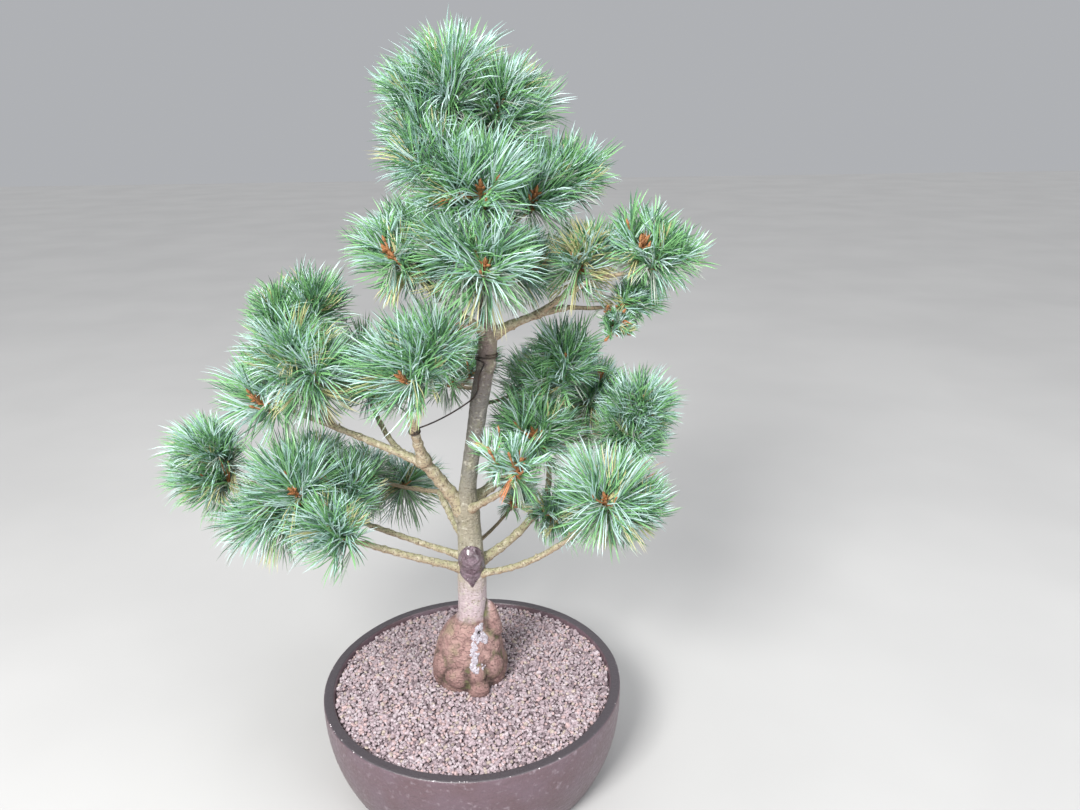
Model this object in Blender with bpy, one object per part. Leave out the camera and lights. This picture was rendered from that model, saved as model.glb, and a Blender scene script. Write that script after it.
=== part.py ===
"""Japanese white pine bonsai in a round stoneware pot.

The pot stands on z = 0 with its axis at x = y = 0. The trunk rises from a flat cut
at the soil. Boughs and twigs are arcs, each given by its start on the limb that
carries it, its heading, its rise and its length. Every shoot ends in a slim core
that a dome of needle sprays stands out of, and every foliage mass keeps to its own
cell of space. Lengths in the tables are millimetres and angles are degrees.
"""
import math
import random
from collections import namedtuple

import bmesh
import bpy
import numpy as np
from mathutils import Vector

MM = 0.001
JOINT_GAP = 0.3
SMOOTH_ANGLE = math.radians(50.0)
NEARLY_UPRIGHT = 0.9

# Pot
POT_HEIGHT = 90.0
RIM_RADIUS = 150.0
RIM_WIDTH = 10.0
FOOT_DRAW_IN = 20.0
WALL_CURVE = 2.5
FLOOR_THICKNESS = 10.0
EDGE_ROUND = 1.5
POT_SIDES = 32
WALL_STEPS = 5
DRAIN_RADIUS = 7.0
DRAIN_OFFSET = 60.0
DRILL_SIDES = 12
DRILL_OVERRUN = 5.0
SOIL_EDGE = 87.0
SOIL_MOUND = 8.0
MOUND_RADIUS = 48.0
SOIL_CLEARANCE = 0.6

# Trunk: height over the soil's edge, sideways lean and radius. It starts on the soil's
# mound with the swollen graft and runs up to the tip.
TRUNK_DATUM = SOIL_EDGE + JOINT_GAP
TRUNK_SIDES = 16
TRUNK_STATIONS = (
    (SOIL_MOUND, -3, 34.0), (14, -3, 36.0), (22, -3, 36.3), (32, -3, 35.2), (42, -2, 33.2),
    (50, -3, 30.8), (57, -3, 26.8), (64, -3, 22.2), (70, -1, 17.6), (77, 2, 13.9),
    (119, 3, 14.2), (140, 3, 12.6), (175, 2, 11.2), (187, 1, 12.4), (197, 1, 11.0),
    (208, 2, 8.6), (230, 5, 7.6), (275, 13, 8.1), (300, 17, 8.7), (329, 23, 8.6),
    (366, 28, 8.7), (379, 25, 5.6), (395, 25, 4.5), (466, 23, 3.5), (500, 20, 3.1),
    (530, 16, 2.6),
)
Lobe = namedtuple("Lobe", "bearing height half_angle half_height out")
TRUNK_LOBES = (
    Lobe(-75, 6, 24, 18, 9.0), Lobe(-118, 14, 22, 14, 4.0), Lobe(-163, 16, 24, 16, 4.0),
    Lobe(-28, 14, 24, 16, 3.0), Lobe(32, 8, 28, 20, 5.0), Lobe(84, 10, 28, 22, 6.0),
    Lobe(140, 8, 26, 18, 5.0), Lobe(2, 70, 38, 19, 11.5),
)

# Boughs
Bough = namedtuple("Bough", "on at heading rise turn lift length thick tip")
BOUGHS = {
    "bough_left": Bough("trunk", 183, -170, 60, 10, -5, 73, 6.6, 5.4),
    "bough_left_up": Bough("bough_left", 0.97, -118, 67, 17, 3, 60, 4.8, 3.6),
    "bough_left_long": Bough("bough_left", 0.94, 166, 20, 18, 5, 134, 3.9, 2.2),
    "bough_left_rear": Bough("bough_left_long", 0.12, 125, -5, -4, 47, 90, 3.0, 2.2),
    "bough_low_left": Bough("trunk", 125, -162, 22, -4, 4, 112, 3.9, 2.8),
    "bough_low_far_left": Bough("trunk", 137, 161, 9, 23, 19, 170, 3.2, 2.2),
    "bough_low_right": Bough("trunk", 121, -29, 15, 13, 34, 140, 3.3, 2.4),
    "bough_right": Bough("trunk", 131, 19, 16, 15, 25, 78, 4.5, 3.8),
    "bough_right_up": Bough("bough_right", 0.96, 3, 43, 110, 38, 64, 3.4, 2.4),
    "bough_front": Bough("trunk", 189, -55, 32, 15, 4, 76, 3.6, 2.6),
    "bough_right_rear": Bough("trunk", 196, 55, 5, -31, 26, 128, 5.4, 3.0),
    "bough_high_left": Bough("trunk", 361, -146, 38, -15, 8, 88, 3.6, 2.5),
    "bough_high_right": Bough("trunk", 359, 12, 28, -8, -20, 78, 4.6, 2.6),
    "bough_high_right_up": Bough("bough_high_right", 0.62, -35, 37, 21, -7, 68, 2.8, 2.1),
    "bough_rear_low": Bough("trunk", 149, 118, 12, -4, 11, 90, 4.2, 3.0),
    "bough_rear": Bough("trunk", 258, 80, 14, 12, 8, 90, 3.8, 2.8),
    "bough_rear_high": Bough("trunk", 359, 95, 25, 0, 7, 62, 3.6, 2.6),
}
BOUGH_STEP = 14.0
THICK_LIMB = 4.0
THICK_SIDES = 7
THIN_SIDES = 6
CUT_GROWTH = JOINT_GAP * 1.2

# Foliage masses: a leading stem, and side shoots as (turn, climb, length) off the stem
TIP = 0.98
Mass = namedtuple("Mass", "on at heading rise length sides needle open")
MASSES = {
    "foliage_apex_left": Mass("trunk", 524, -175, 30, 56, ((150, 25, 34),), 60, 95),
    "foliage_apex_right": Mass("trunk", 520, 15, 25, 48, ((-85, 30, 34),), 50, 95),
    "foliage_apex_rear": Mass("trunk", 516, 90, 30, 66, (), 50, 95),
    "foliage_crown_left": Mass("trunk", 473, -160, 38, 76, ((55, -35, 26),), 50, 105),
    "foliage_crown_front": Mass("trunk", 443, -85, 35, 72, ((-60, -5, 34),), 54, 100),
    "foliage_crown_right": Mass("trunk", 448, 10, 20, 94, ((-80, 15, 24),), 50, 95),
    "foliage_crown_rear": Mass("trunk", 453, 120, 35, 106, ((-85, -15, 62),), 50, 100),
    "foliage_high_left_tip": Mass("bough_high_left", TIP, -165, 35, 34, (), 46, 100),
    "foliage_high_left": Mass("bough_high_left", 0.70, 135, 40, 58, (), 50, 100),
    "foliage_high_front": Mass("trunk", 383, -85, 30, 80, ((-65, 15, 46),), 56, 105),
    "foliage_high_right": Mass("bough_high_right_up", 0.45, 5, 50, 46, (), 48, 90),
    "foliage_high_right_tip": Mass("bough_high_right_up", TIP, -10, 5, 66, ((60, 45, 30),), 50, 105),
    "foliage_high_right_low": Mass("bough_high_right", TIP, -5, -5, 66, ((-60, -35, 30),), 46, 95),
    "foliage_high_rear": Mass("bough_rear_high", TIP, 105, 25, 74, ((-90, -40, 54),), 50, 100),
    "foliage_high_rear_left": Mass("trunk", 399, 125, 10, 100, (), 50, 100),
    "foliage_left_front": Mass("bough_left_up", TIP, -20, 55, 66, ((-125, -40, 24),), 54, 105),
    "foliage_left_rear": Mass("bough_left_rear", TIP, 130, 50, 36, (), 50, 100),
    "foliage_left_top": Mass("bough_left_long", 0.66, 170, 55, 118, ((-120, 10, 62),), 46, 95),
    "foliage_left_outer": Mass("bough_left_long", 0.72, -130, 55, 82, ((75, -20, 34),), 52, 105),
    "foliage_left_tip": Mass("bough_left_long", TIP, -165, 15, 36, (), 52, 110),
    "foliage_low_far_tip": Mass("bough_low_far_left", TIP, 180, 20, 110, ((10, -25, 48),), 50, 105),
    "foliage_low_far_front": Mass("bough_low_far_left", 0.94, -150, -15, 54, (), 48, 100),
    "foliage_low_far_top": Mass("bough_low_far_left", 0.86, -120, 30, 62, (), 54, 105),
    "foliage_low_inner": Mass("bough_low_far_left", 0.74, -120, 65, 36, (), 48, 100),
    "foliage_low_left": Mass("bough_low_left", TIP, -155, 20, 38, (), 50, 110),
    "foliage_low_far_rear": Mass("bough_low_far_left", 0.78, 130, 15, 74, (), 50, 100),
    "foliage_rear_low_left": Mass("bough_rear_low", TIP, 150, -10, 112, ((-65, -25, 44),), 50, 100),
    "foliage_right_inner": Mass("bough_right_up", TIP, -135, 50, 40, (), 48, 95),
    "foliage_right_top": Mass("bough_right_rear", 0.75, -35, 60, 114, ((-150, 5, 38),), 48, 95),
    "foliage_right_rear": Mass("bough_right_rear", TIP, 10, 40, 66, ((55, -75, 34),), 50, 100),
    "foliage_right_outer": Mass("bough_right_rear", 0.86, -20, 15, 112, ((-5, -30, 40),), 48, 100),
    "foliage_low_right": Mass("bough_low_right", TIP, 5, 10, 56, ((-125, 40, 30),), 54, 110),
    "foliage_low_right_inner": Mass("bough_right_up", 0.16, -15, -25, 30, (), 34, 100),
    "foliage_front": Mass("bough_front", TIP, -60, 45, 40, ((-125, -5, 30),), 50, 105),
    "foliage_rear_left": Mass("bough_rear", TIP, 135, -15, 76, ((-70, 25, 46),), 50, 100),
    "foliage_rear_right": Mass("bough_rear", 0.70, 55, -10, 88, (), 50, 100),
    "foliage_rear_low_right": Mass("trunk", 149, 65, -5, 116, (), 50, 100),
}
STEM_LIFT = 20.0
STEM_THICK = 2.1
STEM_OF_TIP = 0.85
SHOOT_THICK = 1.7
SHOOT_TIP = 1.2
TWIG_STEP = 22.0
TWIG_SIDES = 3
FIRST_FORK = 0.5
UPTURN = 0.7

# Needles: each toothed blade is one spray, rooted in the shoot's slim core
LEADER_SPRAYS = 6
SIDE_SPRAYS = 5
TEETH = 4
FAN_STEP = 13.0
VALLEY = 0.52
BLADE_ROOT = 0.8
BLADE_CENTRE = 0.16
BLADE_THICK = 1.5
NEEDLE_INNER_ANGLE = 14.0
CORE_STATIONS = ((-20.0, 1.4), (-13.0, 5.0), (9.0, 5.0), (14.0, 1.0))
CORE_SIDES = 4
ROOT_FRONT = 8.0
ROOT_BACK = -12.0
ROOT_OUT = 3.0
LENGTH_SPREAD = 0.10
ANGLE_SPREAD = 7.0
ROLL_SPREAD = 55.0
SHORTEST = 0.5
CELL_MARGIN = 1.2
LIMB_MARGIN = 1.2
PROBE_STEP = 4.0
GOLDEN_ANGLE = math.pi * (3.0 - math.sqrt(5.0))


def clear_scene():
    for item in list(bpy.data.objects):
        bpy.data.objects.remove(item, do_unlink=True)


def material(name, colour, roughness, metallic=0.0):
    made = bpy.data.materials.new(name)
    made.use_nodes = True
    shader = made.node_tree.nodes["Principled BSDF"]
    shader.inputs["Base Color"].default_value = (*colour, 1.0)
    shader.inputs["Roughness"].default_value = roughness
    shader.inputs["Metallic"].default_value = metallic
    return made


def mesh_object(name, points, faces, finish=None):
    """A closed mesh from points in millimetres, as an object in metres."""
    mesh = bpy.data.meshes.new(name)
    mesh.from_pydata([Vector(point) * MM for point in points], [], faces)
    built = bpy.data.objects.new(name, mesh)
    bpy.context.scene.collection.objects.link(built)
    if finish is not None:
        mesh.materials.append(finish)
    return built


def shade_round(built):
    built.data.shade_smooth()
    built.data.set_sharp_from_angle(angle=SMOOTH_ANGLE)


def evaluate_into_mesh(built):
    """Apply the object's modifiers to its mesh."""
    depsgraph = bpy.context.evaluated_depsgraph_get()
    mesh = bpy.data.meshes.new_from_object(built.evaluated_get(depsgraph), depsgraph=depsgraph)
    built.modifiers.clear()
    built.data = mesh
    mesh.name = built.name


def keep_largest_piece(built):
    """Drop loose scraps and fill sealed hollows, which are separate shells."""
    work = bmesh.new()
    work.from_mesh(built.data)
    unseen = set(work.faces)
    shells = []
    while unseen:
        shell = set()
        frontier = [unseen.pop()]
        while frontier:
            face = frontier.pop()
            shell.add(face)
            for edge in face.edges:
                for other in edge.link_faces:
                    if other in unseen:
                        unseen.remove(other)
                        frontier.append(other)
        shells.append(shell)
    shells.sort(key=len)
    for shell in shells[:-1]:
        bmesh.ops.delete(work, geom=list(shell), context="FACES")
    work.to_mesh(built.data)
    work.free()


def boolean(built, operation, cutter=None, group=None):
    step = built.modifiers.new(operation.lower(), "BOOLEAN")
    step.operation = operation
    step.solver = "EXACT"
    if group is None:
        step.object = cutter
    else:
        step.operand_type = "COLLECTION"
        step.collection = group
    evaluate_into_mesh(built)


def direction(heading, rise):
    around = math.radians(heading)
    above = math.radians(rise)
    return np.array([
        math.cos(around) * math.cos(above),
        math.sin(around) * math.cos(above),
        math.sin(above),
    ])


def arc_path(start, heading, rise, turn, lift, length, step):
    """Points along a limb that turns and lifts evenly over its length."""
    count = max(3, round(length / step))
    points = [np.array(start, dtype=float)]
    for index in range(count):
        part = (index + 0.5) / count
        along = direction(heading + turn * part, rise + lift * part)
        points.append(points[-1] + along * (length / count))
    return np.array(points)


def point_along(points, part):
    place = part * (len(points) - 1)
    low = min(int(place), len(points) - 2)
    return points[low] + (points[low + 1] - points[low]) * (place - low)


def unit(vector):
    return vector / np.linalg.norm(vector)


def cross_frame(ahead, guide=None):
    """Two unit vectors square to a direction, the second as near the guide as it can be."""
    if guide is None:
        guide = np.array([0.0, 0.0, 1.0]) if abs(ahead[2]) < NEARLY_UPRIGHT else np.array([1.0, 0.0, 0.0])
    side = unit(np.cross(ahead, guide))
    return side, np.cross(side, ahead)


def ring_frames(points):
    """The frame of the ring at each point of a path, carried along it without twisting."""
    frames = []
    guide = None
    for index in range(len(points)):
        ahead = unit(points[min(index + 1, len(points) - 1)] - points[max(index - 1, 0)])
        side, guide = cross_frame(ahead, guide)
        frames.append((side, guide))
    return frames


def loft(rings):
    """Faces that close a stack of equal rings, with a cap at each end."""
    sides = len(rings[0])
    points = [point for ring in rings for point in ring]
    faces = [tuple(reversed(range(sides)))]
    for ring in range(len(rings) - 1):
        for side in range(sides):
            following = (side + 1) % sides
            faces.append((
                ring * sides + side,
                ring * sides + following,
                (ring + 1) * sides + following,
                (ring + 1) * sides + side,
            ))
    last = (len(rings) - 1) * sides
    faces.append(tuple(range(last, last + sides)))
    return points, faces


def tube(name, points, radii, sides, finish=None):
    rings = []
    for point, radius, (side, over) in zip(points, radii, ring_frames(points)):
        ring = []
        for index in range(sides):
            angle = -2.0 * math.pi * index / sides
            ring.append(point + radius * (math.cos(angle) * side + math.sin(angle) * over))
        rings.append(ring)
    return mesh_object(name, *loft(rings), finish)


def turned(name, profile, sides, finish):
    """A solid turned about the pot's axis, from an outline that starts and ends on it."""
    points = [(0.0, 0.0, profile[0][1])]
    for radius, height in profile[1:-1]:
        for index in range(sides):
            angle = 2.0 * math.pi * index / sides
            points.append((radius * math.cos(angle), radius * math.sin(angle), height))
    points.append((0.0, 0.0, profile[-1][1]))
    rings = len(profile) - 2
    top = len(points) - 1
    faces = []
    for index in range(sides):
        following = (index + 1) % sides
        faces.append((0, 1 + following, 1 + index))
        for ring in range(rings - 1):
            low = 1 + ring * sides
            high = low + sides
            faces.append((low + index, low + following, high + following, high + index))
        last = 1 + (rings - 1) * sides
        faces.append((last + index, last + following, top))
    return mesh_object(name, points, faces, finish)


def outer_wall_radius(height):
    depth = (POT_HEIGHT - height) / POT_HEIGHT
    return RIM_RADIUS - FOOT_DRAW_IN * depth ** WALL_CURVE


def inner_wall_radius(height):
    """The inside is a plain cone from the rim down to the floor."""
    at_rim = RIM_RADIUS - RIM_WIDTH
    at_floor = outer_wall_radius(FLOOR_THICKNESS) - RIM_WIDTH
    part = (height - FLOOR_THICKNESS) / (POT_HEIGHT - FLOOR_THICKNESS)
    return at_floor + (at_rim - at_floor) * part


def make_pot():
    clay = material("stoneware", (0.085, 0.058, 0.055), 0.62)
    profile = [(0.0, 0.0), (outer_wall_radius(0.0) - EDGE_ROUND, 0.0)]
    for step in range(WALL_STEPS):
        height = EDGE_ROUND + (POT_HEIGHT - 2 * EDGE_ROUND) * step / (WALL_STEPS - 1)
        profile.append((outer_wall_radius(height), height))
    profile += [
        (RIM_RADIUS - EDGE_ROUND, POT_HEIGHT),
        (inner_wall_radius(POT_HEIGHT), POT_HEIGHT),
        (inner_wall_radius(FLOOR_THICKNESS), FLOOR_THICKNESS),
        (0.0, FLOOR_THICKNESS),
    ]
    pot = turned("pot", profile, POT_SIDES, clay)
    for side in (-1, 1):
        low = np.array([side * DRAIN_OFFSET, 0.0, -DRILL_OVERRUN])
        high = np.array([side * DRAIN_OFFSET, 0.0, FLOOR_THICKNESS + DRILL_OVERRUN])
        drill = tube("drain_drill", np.array([low, high]), (DRAIN_RADIUS, DRAIN_RADIUS), DRILL_SIDES)
        boolean(pot, "DIFFERENCE", drill)
        bpy.data.objects.remove(drill)
    shade_round(pot)


def make_soil():
    grit = material("crushed_stone", (0.33, 0.27, 0.27), 0.95)
    low = FLOOR_THICKNESS + JOINT_GAP
    floor_radius = inner_wall_radius(low) - SOIL_CLEARANCE
    edge_radius = inner_wall_radius(SOIL_EDGE) - SOIL_CLEARANCE
    mound_top = SOIL_EDGE + SOIL_MOUND
    profile = [
        (0.0, low),
        (floor_radius, low),
        (edge_radius, SOIL_EDGE),
        (MOUND_RADIUS, mound_top),
        (0.0, mound_top),
    ]
    soil = turned("soil", profile, POT_SIDES, grit)
    shade_round(soil)


def trunk_radius_at(height):
    heights = [station[0] for station in TRUNK_STATIONS]
    return float(np.interp(height, heights, [station[2] for station in TRUNK_STATIONS]))


def trunk_point(height):
    heights = [station[0] for station in TRUNK_STATIONS]
    lean = float(np.interp(height, heights, [station[1] for station in TRUNK_STATIONS]))
    return np.array([lean, 0.0, TRUNK_DATUM + height])


def lobe_swell(height, angle):
    """How far the roots and knobs of the swollen graft stand out at one height and bearing."""
    best = 0.0
    for lobe in TRUNK_LOBES:
        around = ((math.degrees(angle) - lobe.bearing + 180.0) % 360.0 - 180.0) / lobe.half_angle
        above = (height - lobe.height) / lobe.half_height
        best = max(best, lobe.out * (1.0 - around * around - above * above))
    return best


def trunk_solid(name, grow, finish=None):
    """The trunk from its flat cut at the soil to its tip, or a copy that is fatter all round."""
    foot = TRUNK_STATIONS[0]
    tip = TRUNK_STATIONS[-1]
    rings = []
    for station in TRUNK_STATIONS:
        height, lean, radius = station
        level = TRUNK_DATUM + height
        if station is foot:
            level -= grow
        if station is tip:
            level += grow
        ring = []
        for index in range(TRUNK_SIDES):
            angle = 2.0 * math.pi * index / TRUNK_SIDES
            reach = radius + lobe_swell(height, angle) + grow
            ring.append((lean + reach * math.cos(angle), reach * math.sin(angle), level))
        rings.append(ring)
    return mesh_object(name, *loft(rings), finish)


def limb_base(limbs, on, at):
    if on == "trunk":
        return trunk_point(at)
    return point_along(limbs[on].points, at)


Limb = namedtuple("Limb", "points radii sides")


def plan_boughs():
    """The path and radii of every bough, each started on the limb that carries it."""
    limbs = {}
    for name, size in BOUGHS.items():
        base = limb_base(limbs, size.on, size.at)
        points = arc_path(base, size.heading, size.rise, size.turn, size.lift, size.length, BOUGH_STEP)
        radii = np.linspace(size.thick, size.tip, len(points))
        limbs[name] = Limb(points, radii, THICK_SIDES if size.thick > THICK_LIMB else THIN_SIDES)
    return limbs


def swollen_limb(limbs, name):
    """A copy of a limb that is fatter by the joint gap, to cut its children clear."""
    if name == "trunk":
        return trunk_solid("clear_trunk", CUT_GROWTH)
    limb = limbs[name]
    points = limb.points.copy()
    points[-1] = points[-1] + unit(points[-1] - points[-2]) * CUT_GROWTH
    return tube("clear_" + name, points, limb.radii + CUT_GROWTH, limb.sides)


def cut_clear(built, limbs, names):
    for name in names:
        cutter = swollen_limb(limbs, name)
        boolean(built, "DIFFERENCE", cutter)
        bpy.data.objects.remove(cutter)
    keep_largest_piece(built)


def make_trunk(bark):
    trunk = trunk_solid("trunk", 0.0, bark)
    shade_round(trunk)


def make_boughs(limbs, bark):
    """Each bough is one tapering tube, cut clear of its parent and of older forks there."""
    for name, size in BOUGHS.items():
        limb = limbs[name]
        bough = tube(name, limb.points, limb.radii, limb.sides, bark)
        forked_there = [other for other, its in BOUGHS.items() if its.on == size.on != "trunk"]
        older = forked_there[:forked_there.index(name)] if forked_there else []
        cut_clear(bough, limbs, [size.on] + older)
        shade_round(bough)


Shoot = namedtuple("Shoot", "points radii")


def plan_mass(limbs, size):
    """The leading stem of one mass, and the side shoots that fork from half way up it."""
    base = limb_base(limbs, size.on, size.at)
    stem = arc_path(base, size.heading, size.rise, 0.0, STEM_LIFT, size.length, TWIG_STEP)
    thick = STEM_THICK if size.at != TIP else STEM_OF_TIP * BOUGHS[size.on].tip
    shoots = [Shoot(stem, np.linspace(thick, SHOOT_TIP, len(stem)))]
    for turn, climb, length in size.sides:
        fork = point_along(stem, FIRST_FORK)
        path = arc_path(fork, size.heading + turn, size.rise + climb, 0.0, STEM_LIFT, length, TWIG_STEP)
        shoots.append(Shoot(path, np.linspace(SHOOT_THICK, SHOOT_TIP, len(path))))
    return shoots


def shoot_axis(points):
    """A shoot's needles stand about its own line, turned up towards the light."""
    return unit(unit(points[-1] - points[-2]) + np.array([0.0, 0.0, UPTURN]))


def probes_along(points, radii):
    """Closely spaced points of a limb with its radius at each, to test needles against."""
    rows = []
    for index in range(len(points) - 1):
        run = points[index + 1] - points[index]
        count = max(1, int(np.linalg.norm(run) / PROBE_STEP) + 1)
        for step in range(count):
            part = step / count
            radius = radii[index] * (1.0 - part) + radii[index + 1] * part
            rows.append((*(points[index] + run * part), radius))
    rows.append((*points[-1], radii[-1]))
    return rows


def limb_probes(limbs):
    heights = np.arange(TRUNK_STATIONS[0][0], TRUNK_STATIONS[-1][0], PROBE_STEP)
    rows = [(*trunk_point(height), trunk_radius_at(height)) for height in heights]
    for limb in limbs.values():
        rows += probes_along(limb.points, limb.radii)
    return rows


def clear_length(root, along, length, hub, other_hubs, obstacles):
    """How long a tooth may be before it leaves its mass's cell or nears a limb."""
    allowed = length
    for other in other_hubs:
        apart = np.linalg.norm(other - hub)
        across = (other - hub) / apart
        room = apart / 2.0 - CELL_MARGIN - np.dot(root - hub, across)
        closing = np.dot(along, across)
        if room <= 0.0:
            return 0.0
        if closing > 0.0:
            allowed = min(allowed, room / closing)
    steps = np.arange(0.0, length + PROBE_STEP, PROBE_STEP / 2.0)
    line = root + steps[:, None] * along
    apart = np.linalg.norm(line[:, None, :] - obstacles[None, :, :3], axis=2) - obstacles[:, 3]
    own = BLADE_THICK * np.clip(1.0 - steps / length, 0.0, 1.0)
    blocked = np.nonzero(apart.min(axis=1) < own + LIMB_MARGIN)[0]
    if len(blocked):
        allowed = min(allowed, steps[blocked[0]] - PROBE_STEP / 2.0)
    return allowed


def spray(root, axis_ahead, across, lengths):
    """A toothed blade of needles: a thin fan, thickest near its root, one tooth a length."""
    normal = np.cross(axis_ahead, across)
    outline = [root - across * BLADE_ROOT]
    angles = tooth_angles(len(lengths))
    for index, length in enumerate(lengths):
        outline.append(root + length * fan_direction(axis_ahead, across, angles[index]))
        if index + 1 < len(lengths):
            between = (angles[index] + angles[index + 1]) / 2.0
            shorter = min(length, lengths[index + 1]) * VALLEY
            outline.append(root + shorter * fan_direction(axis_ahead, across, between))
    outline.append(root + across * BLADE_ROOT)
    centre = root + axis_ahead * (BLADE_CENTRE * min(lengths))
    points = outline + [centre + normal * BLADE_THICK, centre - normal * BLADE_THICK]
    over = len(outline)
    under = over + 1
    faces = []
    for index in range(len(outline)):
        following = (index + 1) % len(outline)
        faces.append((index, over, following))
        faces.append((following, under, index))
    return mesh_object("spray", points, faces)


def tooth_angles(count):
    return [FAN_STEP * (index - (count - 1) / 2.0) for index in range(count)]


def fan_direction(ahead, across, angle):
    return math.cos(math.radians(angle)) * ahead + math.sin(math.radians(angle)) * across


def core(hub, axis):
    """The slim heart of a shoot's needles: a spindle about the shoot."""
    points = np.array([hub + axis * along for along, _ in CORE_STATIONS])
    return tube("core", points, [radius for _, radius in CORE_STATIONS], CORE_SIDES)


def needle_sprays(hub, axis, count, size, rng, other_hubs, obstacles):
    """Toothed blades in a dome about the shoot's axis, spaced by the golden angle."""
    side, over = cross_frame(axis)
    inner = math.cos(math.radians(NEEDLE_INNER_ANGLE))
    outer = math.cos(math.radians(size.open))
    turn = rng.uniform(0.0, 2.0 * math.pi)
    made = []
    for index in range(count):
        part = (index + 0.5) / count
        tilt = math.acos(inner + (outer - inner) * part)
        tilt += math.radians(rng.uniform(-ANGLE_SPREAD, ANGLE_SPREAD))
        around = turn + GOLDEN_ANGLE * index + math.radians(rng.uniform(-ANGLE_SPREAD, ANGLE_SPREAD))
        sideways = math.cos(around) * side + math.sin(around) * over
        along = math.cos(tilt) * axis + math.sin(tilt) * sideways
        tangent = unit(np.cross(axis, along))
        roll = math.radians(rng.uniform(-ROLL_SPREAD, ROLL_SPREAD))
        across = math.cos(roll) * tangent + math.sin(roll) * np.cross(along, tangent)
        root = hub + axis * (ROOT_FRONT + (ROOT_BACK - ROOT_FRONT) * part) + sideways * ROOT_OUT
        lengths = []
        for angle in tooth_angles(TEETH):
            length = size.needle * (1.0 + rng.uniform(-LENGTH_SPREAD, LENGTH_SPREAD))
            tooth = fan_direction(along, across, angle)
            allowed = clear_length(root, tooth, length, hub, other_hubs, obstacles)
            lengths.append(min(length, allowed))
        if min(lengths) >= size.needle * SHORTEST:
            made.append(spray(root, along, across, lengths))
    return made


def join_mass(name, pieces, finish):
    """Fuse twigs, cores and sprays into one closed solid."""
    group = bpy.data.collections.new(name + "_pieces")
    bpy.context.scene.collection.children.link(group)
    first = pieces[0]
    for piece in pieces[1:]:
        bpy.context.scene.collection.objects.unlink(piece)
        group.objects.link(piece)
    first.name = name
    boolean(first, "UNION", group=group)
    for piece in list(group.objects):
        bpy.data.objects.remove(piece)
    bpy.data.collections.remove(group)
    keep_largest_piece(first)
    first.data.materials.clear()
    first.data.materials.append(finish)
    return first


def make_masses(limbs, needles):
    plans = {name: plan_mass(limbs, size) for name, size in MASSES.items()}
    hubs = {name: [shoot.points[-1] for shoot in shoots] for name, shoots in plans.items()}
    shared = limb_probes(limbs)
    for seed, (name, size) in enumerate(MASSES.items()):
        rng = random.Random(seed)
        others = [hub for other, its in hubs.items() if other != name for hub in its]
        rows = list(shared)
        for other, shoots in plans.items():
            if other != name:
                for shoot in shoots:
                    rows += probes_along(shoot.points, shoot.radii)
        obstacles = np.array(rows)
        pieces = [tube("twig", shoot.points, shoot.radii, TWIG_SIDES) for shoot in plans[name]]
        for order, shoot in enumerate(plans[name]):
            hub = shoot.points[-1]
            axis = shoot_axis(shoot.points)
            count = LEADER_SPRAYS if order == 0 else SIDE_SPRAYS
            pieces.append(core(hub, axis))
            pieces += needle_sprays(hub, axis, count, size, rng, others, obstacles)
        mass = join_mass(name, pieces, needles)
        cut_clear(mass, limbs, [size.on])


def main():
    clear_scene()
    make_pot()
    make_soil()
    bark = material("bark", (0.20, 0.16, 0.13), 0.85)
    needles = material("needles", (0.16, 0.27, 0.15), 0.55)
    limbs = plan_boughs()
    make_trunk(bark)
    make_boughs(limbs, bark)
    make_masses(limbs, needles)


main()
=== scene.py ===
import math
from collections import namedtuple

import bpy
import numpy as np
from mathutils import Matrix, Vector, noise


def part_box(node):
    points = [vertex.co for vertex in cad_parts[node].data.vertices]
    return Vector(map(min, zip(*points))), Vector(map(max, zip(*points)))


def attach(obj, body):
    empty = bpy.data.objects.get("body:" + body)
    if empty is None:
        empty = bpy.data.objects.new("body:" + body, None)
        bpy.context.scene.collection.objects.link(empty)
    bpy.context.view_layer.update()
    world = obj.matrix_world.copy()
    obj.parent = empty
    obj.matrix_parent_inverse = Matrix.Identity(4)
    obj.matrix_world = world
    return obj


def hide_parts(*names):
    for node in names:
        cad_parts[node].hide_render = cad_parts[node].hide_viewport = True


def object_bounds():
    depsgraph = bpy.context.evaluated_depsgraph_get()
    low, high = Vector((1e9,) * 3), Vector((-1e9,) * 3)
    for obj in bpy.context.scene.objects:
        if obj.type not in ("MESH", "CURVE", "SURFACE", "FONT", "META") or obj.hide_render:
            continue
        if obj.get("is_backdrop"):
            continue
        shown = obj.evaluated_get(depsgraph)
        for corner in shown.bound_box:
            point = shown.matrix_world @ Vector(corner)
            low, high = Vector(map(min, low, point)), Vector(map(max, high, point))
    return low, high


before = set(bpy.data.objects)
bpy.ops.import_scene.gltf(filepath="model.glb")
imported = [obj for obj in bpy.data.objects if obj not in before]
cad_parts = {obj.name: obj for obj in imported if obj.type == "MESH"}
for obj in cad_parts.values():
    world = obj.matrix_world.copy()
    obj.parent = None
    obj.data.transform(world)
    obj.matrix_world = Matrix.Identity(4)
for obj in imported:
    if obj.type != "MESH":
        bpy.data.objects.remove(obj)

cad_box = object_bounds()

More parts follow.
